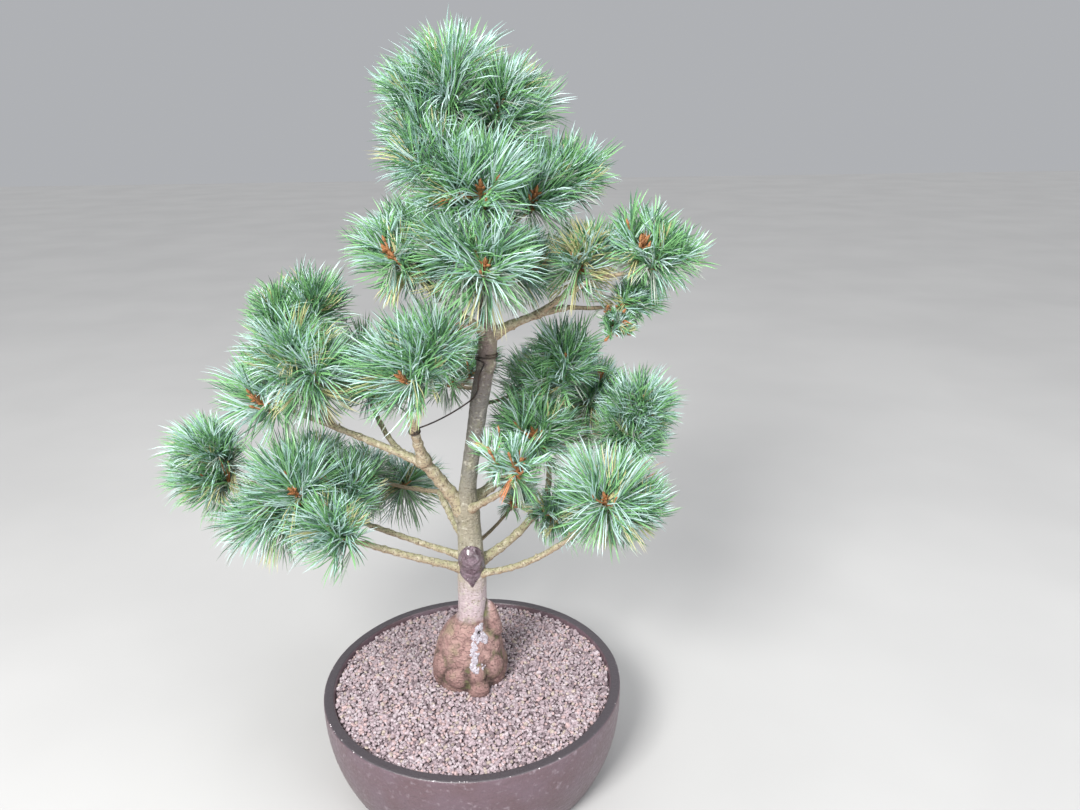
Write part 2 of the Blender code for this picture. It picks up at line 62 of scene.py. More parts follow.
# The pot
# A round drum thrown in purple-brown stoneware and fired without a glaze. Its rim is flat,
# its wall draws in to the foot, and two drainage holes go through its base.
MM = 0.001
_, POT_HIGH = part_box("pot")
POT_HEIGHT = POT_HIGH.z / MM
RIM_RADIUS = POT_HIGH.x / MM
RIM_WIDTH = 10.0
FOOT_DRAW_IN = 20.0
WALL_CURVE = 2.5
BASE_THICKNESS = 10.0
LIP_ROUND = 1.8
FOOT_RECESS = 1.2
FOOT_RING_WIDTH = 14.0
POT_SIDES = 224
WALL_STEP = 2.2
RIM_STEPS = 5
LIP_STEPS = 5
THROWING_PITCH = 7.0
THROWING_DEPTH = 0.12
HAND_WANDER = 0.45
WANDER_SIZE = 60.0
DRAIN_RADIUS = 7.0
DRAIN_OFFSET = 60.0
DRAIN_SIDES = 32
CLAY = (0.112, 0.072, 0.090)
CLAY_GREY = (0.185, 0.140, 0.162)
CLAY_RED = (0.098, 0.058, 0.068)
# Fine dark flecks in the clay, and the painted dark reflection on the top of the rim.
CLAY_FLECK_AND_RIM_REFLECTION = (0.046, 0.038, 0.045)
BURNISH = 0.35
BURNISH_ROUGHNESS = 0.30
CLAY_ROUGHNESS_RAMP = (-2.2, 3.4)
RIM_REFLECTION_FROM = 1.2
RIM_REFLECTION_FULL = 0.2
DRILL_OVER = 5.0
WANDER_FROM = 100.0
WANDER_BIAS = 0.3


def tube_faces(rings, sides):
    """Faces of a closed tube of equal rings, with a flat cap at each end."""
    ring = np.arange(rings - 1)[:, None] * sides
    side = np.arange(sides)[None, :]
    following = (side + 1) % sides
    quads = [ring + side, ring + following, ring + sides + following, ring + sides + side]
    faces = np.stack(quads, axis=-1).reshape(-1, 4).tolist()
    last = (rings - 1) * sides
    faces.append(list(range(sides - 1, -1, -1)))
    faces.append(list(range(last, last + sides)))
    return faces


def into_scene(name, data):
    """A mesh, lamp or camera as an object of the scene."""
    thing = bpy.data.objects.new(name, data)
    bpy.context.scene.collection.objects.link(thing)
    return thing


def new_piece(name, points, faces, finish, slot, stands_for, smooth=True):
    """A piece from points in millimetres. It stands for parts of the frame and rides on its root."""
    mesh = bpy.data.meshes.new(name)
    mesh.from_pydata((np.asarray(points, dtype=float) * MM).tolist(), [], faces)
    mesh.polygons.foreach_set("use_smooth", [smooth] * len(mesh.polygons))
    mesh.materials.append(finish)
    piece = into_scene(name, mesh)
    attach(piece, "root")
    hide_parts(*stands_for)
    return piece


def new_finish(name, roughness):
    finish = bpy.data.materials.new(name)
    finish.use_nodes = True
    shader = finish.node_tree.nodes["Principled BSDF"]
    shader.inputs["Roughness"].default_value = roughness
    return finish, finish.node_tree, shader


def surface_place(tree, stretch=(1.0, 1.0, 1.0)):
    """Where a point lies on its piece. A stretch over 1 squeezes a pattern on that axis."""
    place = tree.nodes.new("ShaderNodeTexCoord")
    sizing = tree.nodes.new("ShaderNodeMapping")
    sizing.inputs["Scale"].default_value = stretch
    tree.links.new(place.outputs["Object"], sizing.inputs["Vector"])
    return sizing.outputs["Vector"]


def ramp_value(tree, value, low, high):
    """A value spread so that low becomes 0 and high becomes 1."""
    spread = tree.nodes.new("ShaderNodeMapRange")
    spread.inputs["From Min"].default_value = low
    spread.inputs["From Max"].default_value = high
    tree.links.new(value, spread.inputs["Value"])
    return spread.outputs["Result"]


def cloud(tree, place, size, low=0.35, high=0.65, detail=3.0):
    """Soft patches, from 0 to 1, about as wide as the size in millimetres."""
    pattern = tree.nodes.new("ShaderNodeTexNoise")
    pattern.inputs["Scale"].default_value = 1.0 / (size * MM)
    pattern.inputs["Detail"].default_value = detail
    tree.links.new(place, pattern.inputs["Vector"])
    return ramp_value(tree, pattern.outputs["Fac"], low, high)


def cracks(tree, place, size, width=0.035):
    """Thin winding cracks about a size in millimetres apart: 1 along a crack, 0 between."""
    pattern = tree.nodes.new("ShaderNodeTexNoise")
    pattern.inputs["Scale"].default_value = 1.0 / (size * MM)
    pattern.inputs["Detail"].default_value = 2.0
    tree.links.new(place, pattern.inputs["Vector"])
    away = tree.nodes.new("ShaderNodeMath")
    away.operation = "SUBTRACT"
    away.inputs[1].default_value = 0.5
    tree.links.new(pattern.outputs["Fac"], away.inputs[0])
    apart = tree.nodes.new("ShaderNodeMath")
    apart.operation = "ABSOLUTE"
    tree.links.new(away.outputs["Value"], apart.inputs[0])
    return ramp_value(tree, apart.outputs["Value"], width, 0.0)


def multiply(tree, first, second):
    step = tree.nodes.new("ShaderNodeMath")
    step.operation = "MULTIPLY"
    for value, socket in ((first, step.inputs[0]), (second, step.inputs[1])):
        if isinstance(value, float):
            socket.default_value = value
        else:
            tree.links.new(value, socket)
    return step.outputs["Value"]


def mix_colours(tree, share, first, second):
    """The second colour over the first by a share from 0 to 1. Each may be a socket."""
    mix = tree.nodes.new("ShaderNodeMix")
    mix.data_type = "RGBA"
    tree.links.new(share, mix.inputs["Factor"])
    for colour, socket in ((first, mix.inputs[6]), (second, mix.inputs[7])):
        if isinstance(colour, tuple):
            socket.default_value = (*colour, 1.0)
        else:
            tree.links.new(colour, socket)
    return mix.outputs[2]


def speckled(tree, under, over, place, size, low, high, strength=None):
    """A tone with another over it, in patches or flecks of a size in millimetres."""
    share = cloud(tree, place, size, low, high)
    if strength is not None:
        share = multiply(tree, share, strength)
    return mix_colours(tree, share, under, over)


def height_above(tree, low, high):
    """A share that goes from 0 to 1 between two heights in millimetres."""
    place = tree.nodes.new("ShaderNodeTexCoord")
    parts = tree.nodes.new("ShaderNodeSeparateXYZ")
    tree.links.new(place.outputs["Object"], parts.inputs["Vector"])
    return ramp_value(tree, parts.outputs["Z"], low * MM, high * MM)


def add_relief(tree, shader, value, depth):
    """Fine relief of a depth in millimetres, over any that the shader has already."""
    bump = tree.nodes.new("ShaderNodeBump")
    bump.inputs["Distance"].default_value = depth * MM
    tree.links.new(value, bump.inputs["Height"])
    if shader.inputs["Normal"].is_linked:
        tree.links.new(shader.inputs["Normal"].links[0].from_socket, bump.inputs["Normal"])
    tree.links.new(bump.outputs["Normal"], shader.inputs["Normal"])


def uneven_gloss(tree, shader, size, low, high):
    """Roughness in soft patches. It is 0 at a pattern value of low and 1 at high."""
    patches = cloud(tree, surface_place(tree), size)
    tree.links.new(ramp_value(tree, patches, low, high), shader.inputs["Roughness"])


def wall_radius(height):
    depth = (POT_HEIGHT - height) / POT_HEIGHT
    return RIM_RADIUS - FOOT_DRAW_IN * depth ** WALL_CURVE


def inside_radius(height):
    at_rim = RIM_RADIUS - RIM_WIDTH
    at_base = wall_radius(BASE_THICKNESS) - RIM_WIDTH
    return at_base + (at_rim - at_base) * (height - BASE_THICKNESS) / (POT_HEIGHT - BASE_THICKNESS)


def quarter_round(radius, height, start):
    """A rounded edge of the profile about its centre, a quarter turn from a start angle."""
    turn = np.radians(start) + np.linspace(0.0, math.pi / 2, LIP_STEPS)
    return [(radius + LIP_ROUND * math.cos(a), height + LIP_ROUND * math.sin(a)) for a in turn]


def pot_profile():
    foot = wall_radius(0.0)
    recess = foot - FOOT_RING_WIDTH
    profile = [(1.0, FOOT_RECESS), (recess - 2.0, FOOT_RECESS), (recess, 0.0)]
    profile += quarter_round(foot - LIP_ROUND, LIP_ROUND, -90.0)
    wall_heights = np.arange(2.0 * LIP_ROUND, POT_HEIGHT - LIP_ROUND, WALL_STEP)
    profile += [(wall_radius(height), height) for height in wall_heights]
    profile += quarter_round(RIM_RADIUS - LIP_ROUND, POT_HEIGHT - LIP_ROUND, 0.0)
    rim_out = RIM_RADIUS - LIP_ROUND
    rim_in = RIM_RADIUS - RIM_WIDTH + LIP_ROUND
    profile += [(radius, POT_HEIGHT) for radius in np.linspace(rim_out, rim_in, RIM_STEPS)[1:-1]]
    profile += quarter_round(rim_in, POT_HEIGHT - LIP_ROUND, 90.0)
    inner_heights = np.arange(POT_HEIGHT - 2.0 * LIP_ROUND, BASE_THICKNESS, -2.0 * WALL_STEP)
    profile += [(inside_radius(height), height) for height in inner_heights]
    profile += [(inside_radius(BASE_THICKNESS), BASE_THICKNESS), (1.0, BASE_THICKNESS)]
    return profile


def thrown_points(profile):
    """The profile turned round, with the faint rings and wander of a hand-thrown wall."""
    points = []
    for radius, height in profile:
        ripple = THROWING_DEPTH * math.sin(2.0 * math.pi * height / THROWING_PITCH)
        on_wall = 2.0 * LIP_ROUND < height < POT_HEIGHT - 2.0 * LIP_ROUND
        for side in range(POT_SIDES):
            turn = 2.0 * math.pi * side / POT_SIDES
            out = Vector((math.cos(turn), math.sin(turn), 0.0))
            spot = (out * radius + Vector((0.0, 0.0, height))) / WANDER_SIZE
            wander = HAND_WANDER * (noise.noise(spot) - WANDER_BIAS) if radius > WANDER_FROM else 0.0
            reach = radius + wander + (ripple if on_wall else 0.0)
            points.append((out.x * reach, out.y * reach, height))
    return points


def drill_through(piece, centre):
    turn = 2.0 * math.pi * np.arange(DRAIN_SIDES) / DRAIN_SIDES
    ring = np.stack([centre + DRAIN_RADIUS * np.cos(turn), DRAIN_RADIUS * np.sin(turn)], axis=1)
    low = np.column_stack([ring, np.full(DRAIN_SIDES, -DRILL_OVER)])
    high = np.column_stack([ring, np.full(DRAIN_SIDES, BASE_THICKNESS + DRILL_OVER)])
    mesh = bpy.data.meshes.new("drill")
    points = (np.concatenate([low, high]) * MM).tolist()
    mesh.from_pydata(points, [], tube_faces(2, DRAIN_SIDES))
    drill = into_scene("drill", mesh)
    cut = piece.modifiers.new("drain", "BOOLEAN")
    cut.operation = "DIFFERENCE"
    cut.object = drill
    settled = bpy.context.evaluated_depsgraph_get()
    piece.data = bpy.data.meshes.new_from_object(piece.evaluated_get(settled), depsgraph=settled)
    piece.modifiers.clear()
    bpy.data.objects.remove(drill)


stoneware, tree, shader = new_finish("stoneware", 0.5)
shader.inputs["Coat Weight"].default_value = BURNISH
shader.inputs["Coat Roughness"].default_value = BURNISH_ROUGHNESS
place = surface_place(tree)
clay = mix_colours(tree, cloud(tree, place, 28.0), CLAY, CLAY_RED)
clay = speckled(tree, clay, CLAY_GREY, place, 5.0, 0.58, 0.72)
clay = speckled(tree, clay, CLAY_FLECK_AND_RIM_REFLECTION, place, 1.1, 0.62, 0.75)
# Painted dark reflection: the flat top of the rim is coloured near black, as if it reflected dark
# surroundings.
at_rim = height_above(tree, POT_HEIGHT - RIM_REFLECTION_FROM, POT_HEIGHT - RIM_REFLECTION_FULL)
clay = mix_colours(tree, at_rim, clay, CLAY_FLECK_AND_RIM_REFLECTION)
tree.links.new(clay, shader.inputs["Base Color"])
uneven_gloss(tree, shader, 3.0, *CLAY_ROUGHNESS_RAMP)
add_relief(tree, shader, cloud(tree, place, 0.9), 0.10)
add_relief(tree, shader, cloud(tree, place, 4.0), 0.25)

profile = pot_profile()
pot = new_piece(
    "pot_stoneware", thrown_points(profile), tube_faces(len(profile), POT_SIDES),
    stoneware, "stoneware", ["pot"],
)
for side in (-1, 1):
    drill_through(pot, side * DRAIN_OFFSET)

# The rim's specks
# Tiny pale specks, drawn as small crumbs, sit on the outer edge of the rim,
# most of them at the front.
RIM_SPECK_COUNT = 26
SPECK_TONES = ((0.780, 0.740, 0.760), (0.560, 0.500, 0.520))
SPECK_BEARING = -90.0
SPECK_SPREAD = 48.0
SPECK_SUNK = 0.25
SPECK_LEVELS = ((-1.0, 0.8), (0.2, 1.0), (1.0, 0.45))
SPECK_HALF = (0.25, 0.6)
SPECK_SIDES = 6
SPECK_ON_LIP = (0.2, 1.0)
SPECK_ROUGH = (0.75, 1.25)


def mottled(name, roughness, tones, patch, flecks=None, relief=None):
    """A finish of two tones in soft patches of one size.

    Flecks are a size, where they start and are full, and their colour. Relief is a size and
    a depth. Sizes and depths are in millimetres.
    """
    finish, tree, shader = new_finish(name, roughness)
    place = surface_place(tree)
    tone = mix_colours(tree, cloud(tree, place, patch), *tones)
    if flecks:
        size, low, high, colour = flecks
        tone = speckled(tree, tone, colour, place, size, low, high)
    tree.links.new(tone, shader.inputs["Base Color"])
    if relief:
        size, depth = relief
        add_relief(tree, shader, cloud(tree, place, size), depth)
    return finish, tree, shader


chance = np.random.default_rng(5)
speck_points = []
speck_faces = []
for index in range(RIM_SPECK_COUNT):
    bearing = math.radians(SPECK_BEARING + chance.normal() * SPECK_SPREAD)
    half = chance.uniform(*SPECK_HALF)
    away = RIM_RADIUS - LIP_ROUND * chance.uniform(*SPECK_ON_LIP)
    centre = (away * math.cos(bearing), away * math.sin(bearing), POT_HEIGHT - SPECK_SUNK)
    first = len(speck_points)
    for level, reach in SPECK_LEVELS:
        for side in range(SPECK_SIDES):
            turn = math.tau * side / SPECK_SIDES
            rough = reach * half * chance.uniform(*SPECK_ROUGH)
            corner = (rough * math.cos(turn), rough * math.sin(turn), level * half)
            speck_points.append(np.array(centre) + corner)
    speck_faces += [[first + corner for corner in face] for face in tube_faces(3, SPECK_SIDES)]
grit, _, _ = mottled("pale_specks", 0.7, SPECK_TONES, 1.0, relief=(0.5, 0.1))
new_piece("rim_specks", speck_points, speck_faces, grit, "stoneware", ["pot"], False)

# The trunk
# One living stem of white pine on a rootstock. The graft at its foot has healed into a swollen
# ball with lobes, pale bark runs up from it, and the stem thins past each bough to its tip.
SOIL_EDGE = 87.0
SOIL_MOUND = 8.0
JOINT_GAP = 0.3
TRUNK_DATUM = SOIL_EDGE + JOINT_GAP
TRUNK_STATIONS = (
    (SOIL_MOUND, -3, 34.0), (14, -3, 36.0), (22, -3, 36.3), (32, -3, 35.2), (42, -2, 33.2),
    (50, -3, 30.8), (57, -3, 26.8), (64, -3, 22.2), (70, -1, 17.6), (77, 2, 13.9),
    (119, 3, 14.2), (140, 3, 12.6), (175, 2, 11.2), (187, 1, 12.4), (197, 1, 11.0),
    (208, 2, 8.6), (230, 5, 7.6), (275, 13, 8.1), (300, 17, 8.7), (329, 23, 8.6),
    (366, 28, 8.7), (379, 25, 5.6), (395, 25, 4.5), (466, 23, 3.5), (500, 20, 3.1),
    (530, 16, 2.6),
)
STATION_HEIGHTS, STATION_LEANS, STATION_RADII = np.array(TRUNK_STATIONS, dtype=float).T
Lobe = namedtuple("Lobe", "bearing height half_angle half_height out")
SIDE_KNOB = Lobe(3, 71, 29, 20, 11.5)
TRUNK_LOBES = (
    Lobe(-72, 9, 18, 14, 9.5), Lobe(-74, 27, 15, 11, 5.0), Lobe(-108, 24, 20, 11, 4.5),
    Lobe(-146, 30, 20, 13, 4.5), Lobe(-120, 8, 22, 10, 2.0), Lobe(-163, 10, 24, 12, 2.5),
    Lobe(-40, 29, 20, 11, 4.5), Lobe(-20, 12, 24, 12, 2.5), Lobe(32, 8, 28, 20, 5.0),
    Lobe(84, 10, 28, 22, 6.0), Lobe(140, 8, 26, 18, 5.0), Lobe(120, 30, 20, 12, 3.0),
    SIDE_KNOB, Lobe(-82, 141, 52, 12, 4.5), Lobe(-30, 333, 60, 5, 1.5),
    Lobe(160, 186, 60, 12, 2.0),
)
LOBE_FULLNESS = 0.62
BELOW_SOIL = 6.0
TRUNK_STEP = 1.5
TRUNK_SIDES = 104
STATION_BLEND = 3.0
BALL_TOP = 76.0
DIMPLE = (-54.0, 63.8, 3.4, 2.8)
DIMPLE_FALL = 1.8
DIMPLE_SHADE_DEPTH = 1.2
DIMPLE_TRUNK_RADIUS = 22.0
BALL_BLEND = 12.0
BALL_EDGE = 2.5
BALL_EDGE_WANDER = 2.2
KNOB_EDGE = 4.0
CREASE_FULL = 1.15
NEARLY_UPRIGHT = 0.9


def trunk_axis(height):
    lean = np.interp(height, STATION_HEIGHTS, STATION_LEANS)
    return np.array([float(lean), 0.0, TRUNK_DATUM + height])


def trunk_radius(height):
    return float(np.interp(height, STATION_HEIGHTS, STATION_RADII))


def clamped(value):
    """A value kept from 0 to 1."""
    return min(1.0, max(0.0, value))


def turn_between(first, second):
    """The turn in degrees from the second bearing to the first, the short way round."""
    return (first - second + 180.0) % 360.0 - 180.0


def inside_lobe(lobe, height, bearing):
    """1 at the middle of a lobe, 0 at its edge, and less than 0 outside it."""
    around = turn_between(bearing, lobe.bearing) / lobe.half_angle
    above = (height - lobe.height) / lobe.half_height
    return 1.0 - around * around - above * above


def lobe_swell(height, bearing):
    """How far a root, lobe or knob stands out at one height and bearing."""
    best = 0.0
    for lobe in TRUNK_LOBES:
        inside = inside_lobe(lobe, height, bearing)
        if inside > 0.0:
            best = max(best, lobe.out * inside ** LOBE_FULLNESS)
    return best


def bark_grain(point, height):
    """Wrinkles on the ball, and upright grain and scars on the stem above it."""
    on_ball = clamped((BALL_TOP - height) / BALL_BLEND)
    spot = Vector(point)
    wrinkle = 1.1 * noise.noise(spot / 11.0) + 0.55 * noise.noise(spot / 4.2)
    wrinkle += 0.22 * noise.noise(spot / 1.7)
    upright = Vector((spot.x / 2.4, spot.y / 2.4, spot.z / 9.0))
    grain = 0.30 * noise.noise(upright) + 0.35 * noise.noise(spot / 7.0)
    grain += 0.16 * noise.noise(Vector((spot.x, spot.y, spot.z * 1.8)) / 1.6)
    return wrinkle * on_ball + grain * (1.0 - on_ball)


def dimple_depth(height, bearing, radius):
    """The small knot hole in the graft, which the sap runs from."""
    at, level, width, depth = DIMPLE
    across = math.radians(turn_between(bearing, at)) * radius
    away = (across * across + (height - level) ** 2) / (width * width)
    return depth * math.exp(-away * DIMPLE_FALL)


trunk_heights = np.arange(SOIL_MOUND - BELOW_SOIL, STATION_HEIGHTS[-1], TRUNK_STEP)
near = np.arange(-3 * STATION_BLEND, 3 * STATION_BLEND + TRUNK_STEP, TRUNK_STEP)
weights = np.exp(-0.5 * (near / STATION_BLEND) ** 2)
weights /= weights.sum()


def blended(level, values):
    """The stations' leans or radii at one height, with the corners between them eased."""
    return float(np.dot(weights, np.interp(level + near, STATION_HEIGHTS, values)))


trunk_bearings = np.degrees(2.0 * math.pi * np.arange(TRUNK_SIDES) / TRUNK_SIDES)
trunk_leans = [blended(height, STATION_LEANS) for height in trunk_heights]
trunk_reach = np.zeros((len(trunk_heights), TRUNK_SIDES))
for row, height in enumerate(trunk_heights):
    radius = blended(height, STATION_RADII)
    for column, bearing in enumerate(trunk_bearings):
        reach = radius + lobe_swell(height, bearing) - dimple_depth(height, bearing, radius)
        turn = math.radians(bearing)
        spot = (reach * math.cos(turn), reach * math.sin(turn), height)
        trunk_reach[row, column] = reach + bark_grain(spot, height)


def trunk_surface(bearing, height, lift=0.0):
    """A point on the bark, or at a lift above it."""
    row = min(max(0, round((height - trunk_heights[0]) / TRUNK_STEP)), len(trunk_heights) - 1)
    column = round(bearing % 360.0 / 360.0 * TRUNK_SIDES) % TRUNK_SIDES
    reach = trunk_reach[row, column] + lift
    turn = math.radians(bearing)
    lean = trunk_leans[row]
    return np.array([lean + reach * math.cos(turn), reach * math.sin(turn), TRUNK_DATUM + height])


def ball_share(height, bearing):
    """Where the bark is the brown skin of the graft, which takes in the knob at its side."""
    edge = BALL_TOP + BALL_EDGE_WANDER * noise.noise(Vector((bearing / 22.0, 0.0, 5.0)))
    under = clamped((edge - height) / BALL_EDGE)
    return max(under, clamped(KNOB_EDGE * inside_lobe(SIDE_KNOB, height, bearing)))


def hollowness(reach):
    """How far each point lies in a crease, against the surface around it."""
    around = sum(np.roll(reach, step, axis=1) for step in range(-4, 5)) / 9.0
    padded = np.pad(around, ((3, 3), (0, 0)), mode="edge")
    eased = sum(padded[step:step + len(reach)] for step in range(7)) / 7.0
    return np.clip((eased - reach) / CREASE_FULL, 0.0, 1.0)


turns = np.radians(trunk_bearings)
trunk_points = np.zeros((len(trunk_heights), TRUNK_SIDES, 3))
trunk_points[:, :, 0] = np.array(trunk_leans)[:, None] + trunk_reach * np.cos(turns)
trunk_points[:, :, 1] = trunk_reach * np.sin(turns)
trunk_points[:, :, 2] = (TRUNK_DATUM + trunk_heights)[:, None]

BARK_BALL = (0.245, 0.140, 0.130)
BARK_BALL_PALE = (0.350, 0.220, 0.200)
BARK_BALL_LOW = (0.185, 0.100, 0.092)
BARK_BALL_DARK = (0.135, 0.078, 0.066)
# Painted shade for the creases of the graft.
BARK_CREASE_SHADE = (0.058, 0.036, 0.030)
BARK_MOSS = (0.105, 0.100, 0.045)
BARK_ALGAE = (0.300, 0.290, 0.150)
STEM_FLECK = (0.130, 0.105, 0.065)
STEM_PALE = (0.560, 0.530, 0.450)
KNOT_HOLE_SHADE = (0.020, 0.014, 0.016)
BALL_LOW_FROM = 44.0
BALL_LOW_FULL = 22.0
WRINKLE_SPACING = 8.0
TRUNK_TONES = (
    (70.0, (0.400, 0.295, 0.300)), (84.0, (0.470, 0.375, 0.400)), (108.0, (0.430, 0.355, 0.365)),
    (125.0, (0.355, 0.305, 0.265)), (150.0, (0.315, 0.290, 0.225)), (190.0, (0.265, 0.235, 0.175)),
    (230.0, (0.200, 0.192, 0.165)), (300.0, (0.180, 0.165, 0.155)), (345.0, (0.195, 0.150, 0.140)),
    (420.0, (0.200, 0.140, 0.100)), (530.0, (0.220, 0.130, 0.070)),
)


def tones_by_height(tree, tones, datum):
    """A colour ramp with a tone at each height in millimetres over the datum."""
    low = tones[0][0] + datum
    high = tones[-1][0] + datum
    ramp = tree.nodes.new("ShaderNodeValToRGB")
    points = ramp.color_ramp.elements
    for _ in range(len(tones) - 2):
        points.new(0.5)
    for point, (height, tone) in zip(points, tones):
        point.position = (height + datum - low) / (high - low)
        point.color = (*tone, 1.0)
    tree.links.new(height_above(tree, low, high), ramp.inputs["Fac"])
    return ramp.outputs["Color"]


bark, tree, shader = new_finish("bark_trunk", 0.8)
place = surface_place(tree)
stretched = surface_place(tree, (1.0, 1.0, 1.9))
ball = mix_colours(tree, cloud(tree, place, 9.0, 0.38, 0.62), BARK_BALL, BARK_BALL_PALE)
foot = height_above(tree, TRUNK_DATUM + BALL_LOW_FROM, TRUNK_DATUM + BALL_LOW_FULL)
ball = mix_colours(tree, multiply(tree, foot, 0.55), ball, BARK_BALL_LOW)
ball = speckled(tree, ball, BARK_BALL_DARK, place, 4.5, 0.56, 0.74, 0.6)
wrinkled = surface_place(tree, (1.0, 1.0, 1.7))
wrinkles = cracks(tree, wrinkled, WRINKLE_SPACING)
ball = mix_colours(tree, multiply(tree, wrinkles, 0.50), ball, BARK_BALL_DARK)
ball = speckled(tree, ball, BARK_BALL_PALE, wrinkled, 3.2, 0.54, 0.66, 0.45)
stem = tones_by_height(tree, TRUNK_TONES, TRUNK_DATUM)
stem = speckled(tree, stem, STEM_FLECK, stretched, 2.6, 0.56, 0.68, 0.75)
stem = speckled(tree, stem, STEM_PALE, place, 5.0, 0.56, 0.72, 0.6)
marks = {}
for mark in ("ball", "crease", "hole"):
    reading = tree.nodes.new("ShaderNodeAttribute")
    reading.attribute_name = mark
    marks[mark] = reading.outputs["Fac"]
skin = mix_colours(tree, marks["ball"], stem, ball)
# Painted shade: the bark is darkened in its creases, more where a point lies deeper than the surface
# around it.
skin = mix_colours(tree, multiply(tree, marks["crease"], 0.8), skin, BARK_CREASE_SHADE)
moss = multiply(tree, marks["crease"], cloud(tree, place, 9.0, 0.50, 0.62))
skin = mix_colours(tree, moss, skin, BARK_MOSS)
skin = speckled(tree, skin, BARK_ALGAE, place, 13.0, 0.54, 0.70, 0.30)
# Painted shade: the shallow knot hole is coloured near black, as a deep hole in its own shadow.
skin = mix_colours(tree, marks["hole"], skin, KNOT_HOLE_SHADE)
tree.links.new(skin, shader.inputs["Base Color"])
add_relief(tree, shader, cloud(tree, stretched, 1.3), 0.30)
add_relief(tree, shader, cloud(tree, place, 0.5), 0.12)
add_relief(tree, shader, cloud(tree, wrinkled, 3.6), 0.50)
add_relief(tree, shader, multiply(tree, wrinkles, marks["ball"]), -0.55)

trunk = new_piece(
    "trunk_bark", trunk_points.reshape(-1, 3), tube_faces(len(trunk_heights), TRUNK_SIDES),
    bark, "bark", ["trunk"],
)
grid = [(height, bearing) for height in trunk_heights for bearing in trunk_bearings]
mark_values = {
    "ball": [ball_share(height, bearing) for height, bearing in grid],
    "crease": hollowness(trunk_reach).ravel(),
    # The painted shade of the knot hole, full where the dimple is deepest.
    "hole": [
        min(1.0, dimple_depth(height, bearing, DIMPLE_TRUNK_RADIUS) / DIMPLE_SHADE_DEPTH)
        for height, bearing in grid
    ],
}
for mark, values in mark_values.items():
    layer = trunk.data.attributes.new(mark, "FLOAT", "POINT")
    layer.data.foreach_set("value", np.array(values, dtype=np.float32))

# The boughs
# Each is one tapering limb of the same wood. It leaves its parent from a swollen collar, turns
# and lifts evenly on its way out, and carries old bud scars and short dead spurs.
Bough = namedtuple("Bough", "on at heading rise turn lift length thick tip")
BOUGHS = {
    "bough_left": Bough("trunk", 183, -170, 60, 10, -5, 73, 6.6, 5.4),
    "bough_left_up": Bough("bough_left", 0.97, -118, 67, 17, 3, 60, 4.8, 3.6),
    "bough_left_long": Bough("bough_left", 0.94, 166, 20, 18, 5, 134, 3.9, 2.2),
    "bough_left_rear": Bough("bough_left_long", 0.12, 125, -5, -4, 47, 90, 3.0, 2.2),
    "bough_low_left": Bough("trunk", 125, -162, 22, -4, 4, 112, 3.9, 2.8),
    "bough_low_far_left": Bough("trunk", 137, 161, 9, 23, 19, 170, 3.2, 2.2),
    "bough_low_right": Bough("trunk", 121, -29, 15, 13, 34, 140, 3.3, 2.4),
    "bough_right": Bough("trunk", 131, 19, 16, 15, 25, 78, 4.5, 3.8),
    "bough_right_up": Bough("bough_right", 0.96, 3, 43, 110, 38, 64, 3.4, 2.4),
    "bough_front": Bough("trunk", 189, -55, 32, 15, 4, 76, 3.6, 2.6),
    "bough_right_rear": Bough("trunk", 196, 55, 5, -31, 26, 128, 5.4, 3.0),
    "bough_high_left": Bough("trunk", 361, -146, 38, -15, 8, 88, 3.6, 2.5),
    "bough_high_right": Bough("trunk", 359, 12, 28, -8, -20, 78, 4.6, 2.6),
    "bough_high_right_up": Bough("bough_high_right", 0.62, -35, 37, 21, -7, 68, 2.8, 2.1),
    "bough_rear_low": Bough("trunk", 149, 118, 12, -4, 11, 90, 4.2, 3.0),
    "bough_rear": Bough("trunk", 258, 80, 14, 12, 8, 90, 3.8, 2.8),
    "bough_rear_high": Bough("trunk", 359, 95, 25, 0, 7, 62, 3.6, 2.6),
}
BOUGH_STEP = 14.0
BOUGH_SIDES = 18
FINE_STEP = 1.6
COLLAR_SWELL = 0.55
COLLAR_LENGTH = 6.0
KNOT_SPACING = (11.0, 24.0)
KNOT_SWELL = 0.16
KNOT_LENGTH = 2.2
KNOT_FREE_END = 4.0
SPUR_LENGTH = (2.0, 4.5)
SPUR_SHARE = 0.55
SPUR_LEAN = (0.2, 0.9)
SPUR_ROOTED = 0.6
SPUR_RADII = (1.3, 0.95, 0.75, 0.3)
SPUR_PARTS = (0.0, 0.55, 0.95, 1.0)
SPUR_SIDES = 7
BOUGH_GRAIN = (0.55, 3.2)
BOUGH_END = (0.85, 0.55)
TOP_OF_LIMB = (0.285, 0.275, 0.165)
SIDE_OF_LIMB = (0.330, 0.265, 0.180)
UNDER_LIMB = (0.400, 0.270, 0.180)
LIMB_SCAR = (0.120, 0.085, 0.060)
LIMB_PALE = (0.520, 0.470, 0.370)

Limb = namedtuple("Limb", "points radii")


def unit(vector):
    return vector / np.linalg.norm(vector)


def direction(heading, rise):
    around = math.radians(heading)
    above = math.radians(rise)
    flat = math.cos(above)
    return np.array([math.cos(around) * flat, math.sin(around) * flat, math.sin(above)])


def arc_path(start, heading, rise, turn, lift, length, step):
    """Points along a limb that turns and lifts evenly over its length."""
    count = max(3, round(length / step))
    points = [np.array(start, dtype=float)]
    for index in range(count):
        part = (index + 0.5) / count
        along = direction(heading + turn * part, rise + lift * part)
        points.append(points[-1] + along * (length / count))
    return np.array(points)


def point_along(points, part):
    place = part * (len(points) - 1)
    low = min(int(place), len(points) - 2)
    return points[low] + (points[low + 1] - points[low]) * (place - low)


def limb_base(limbs, on, at):
    if on == "trunk":
        return trunk_axis(at)
    return point_along(limbs[on].points, at)


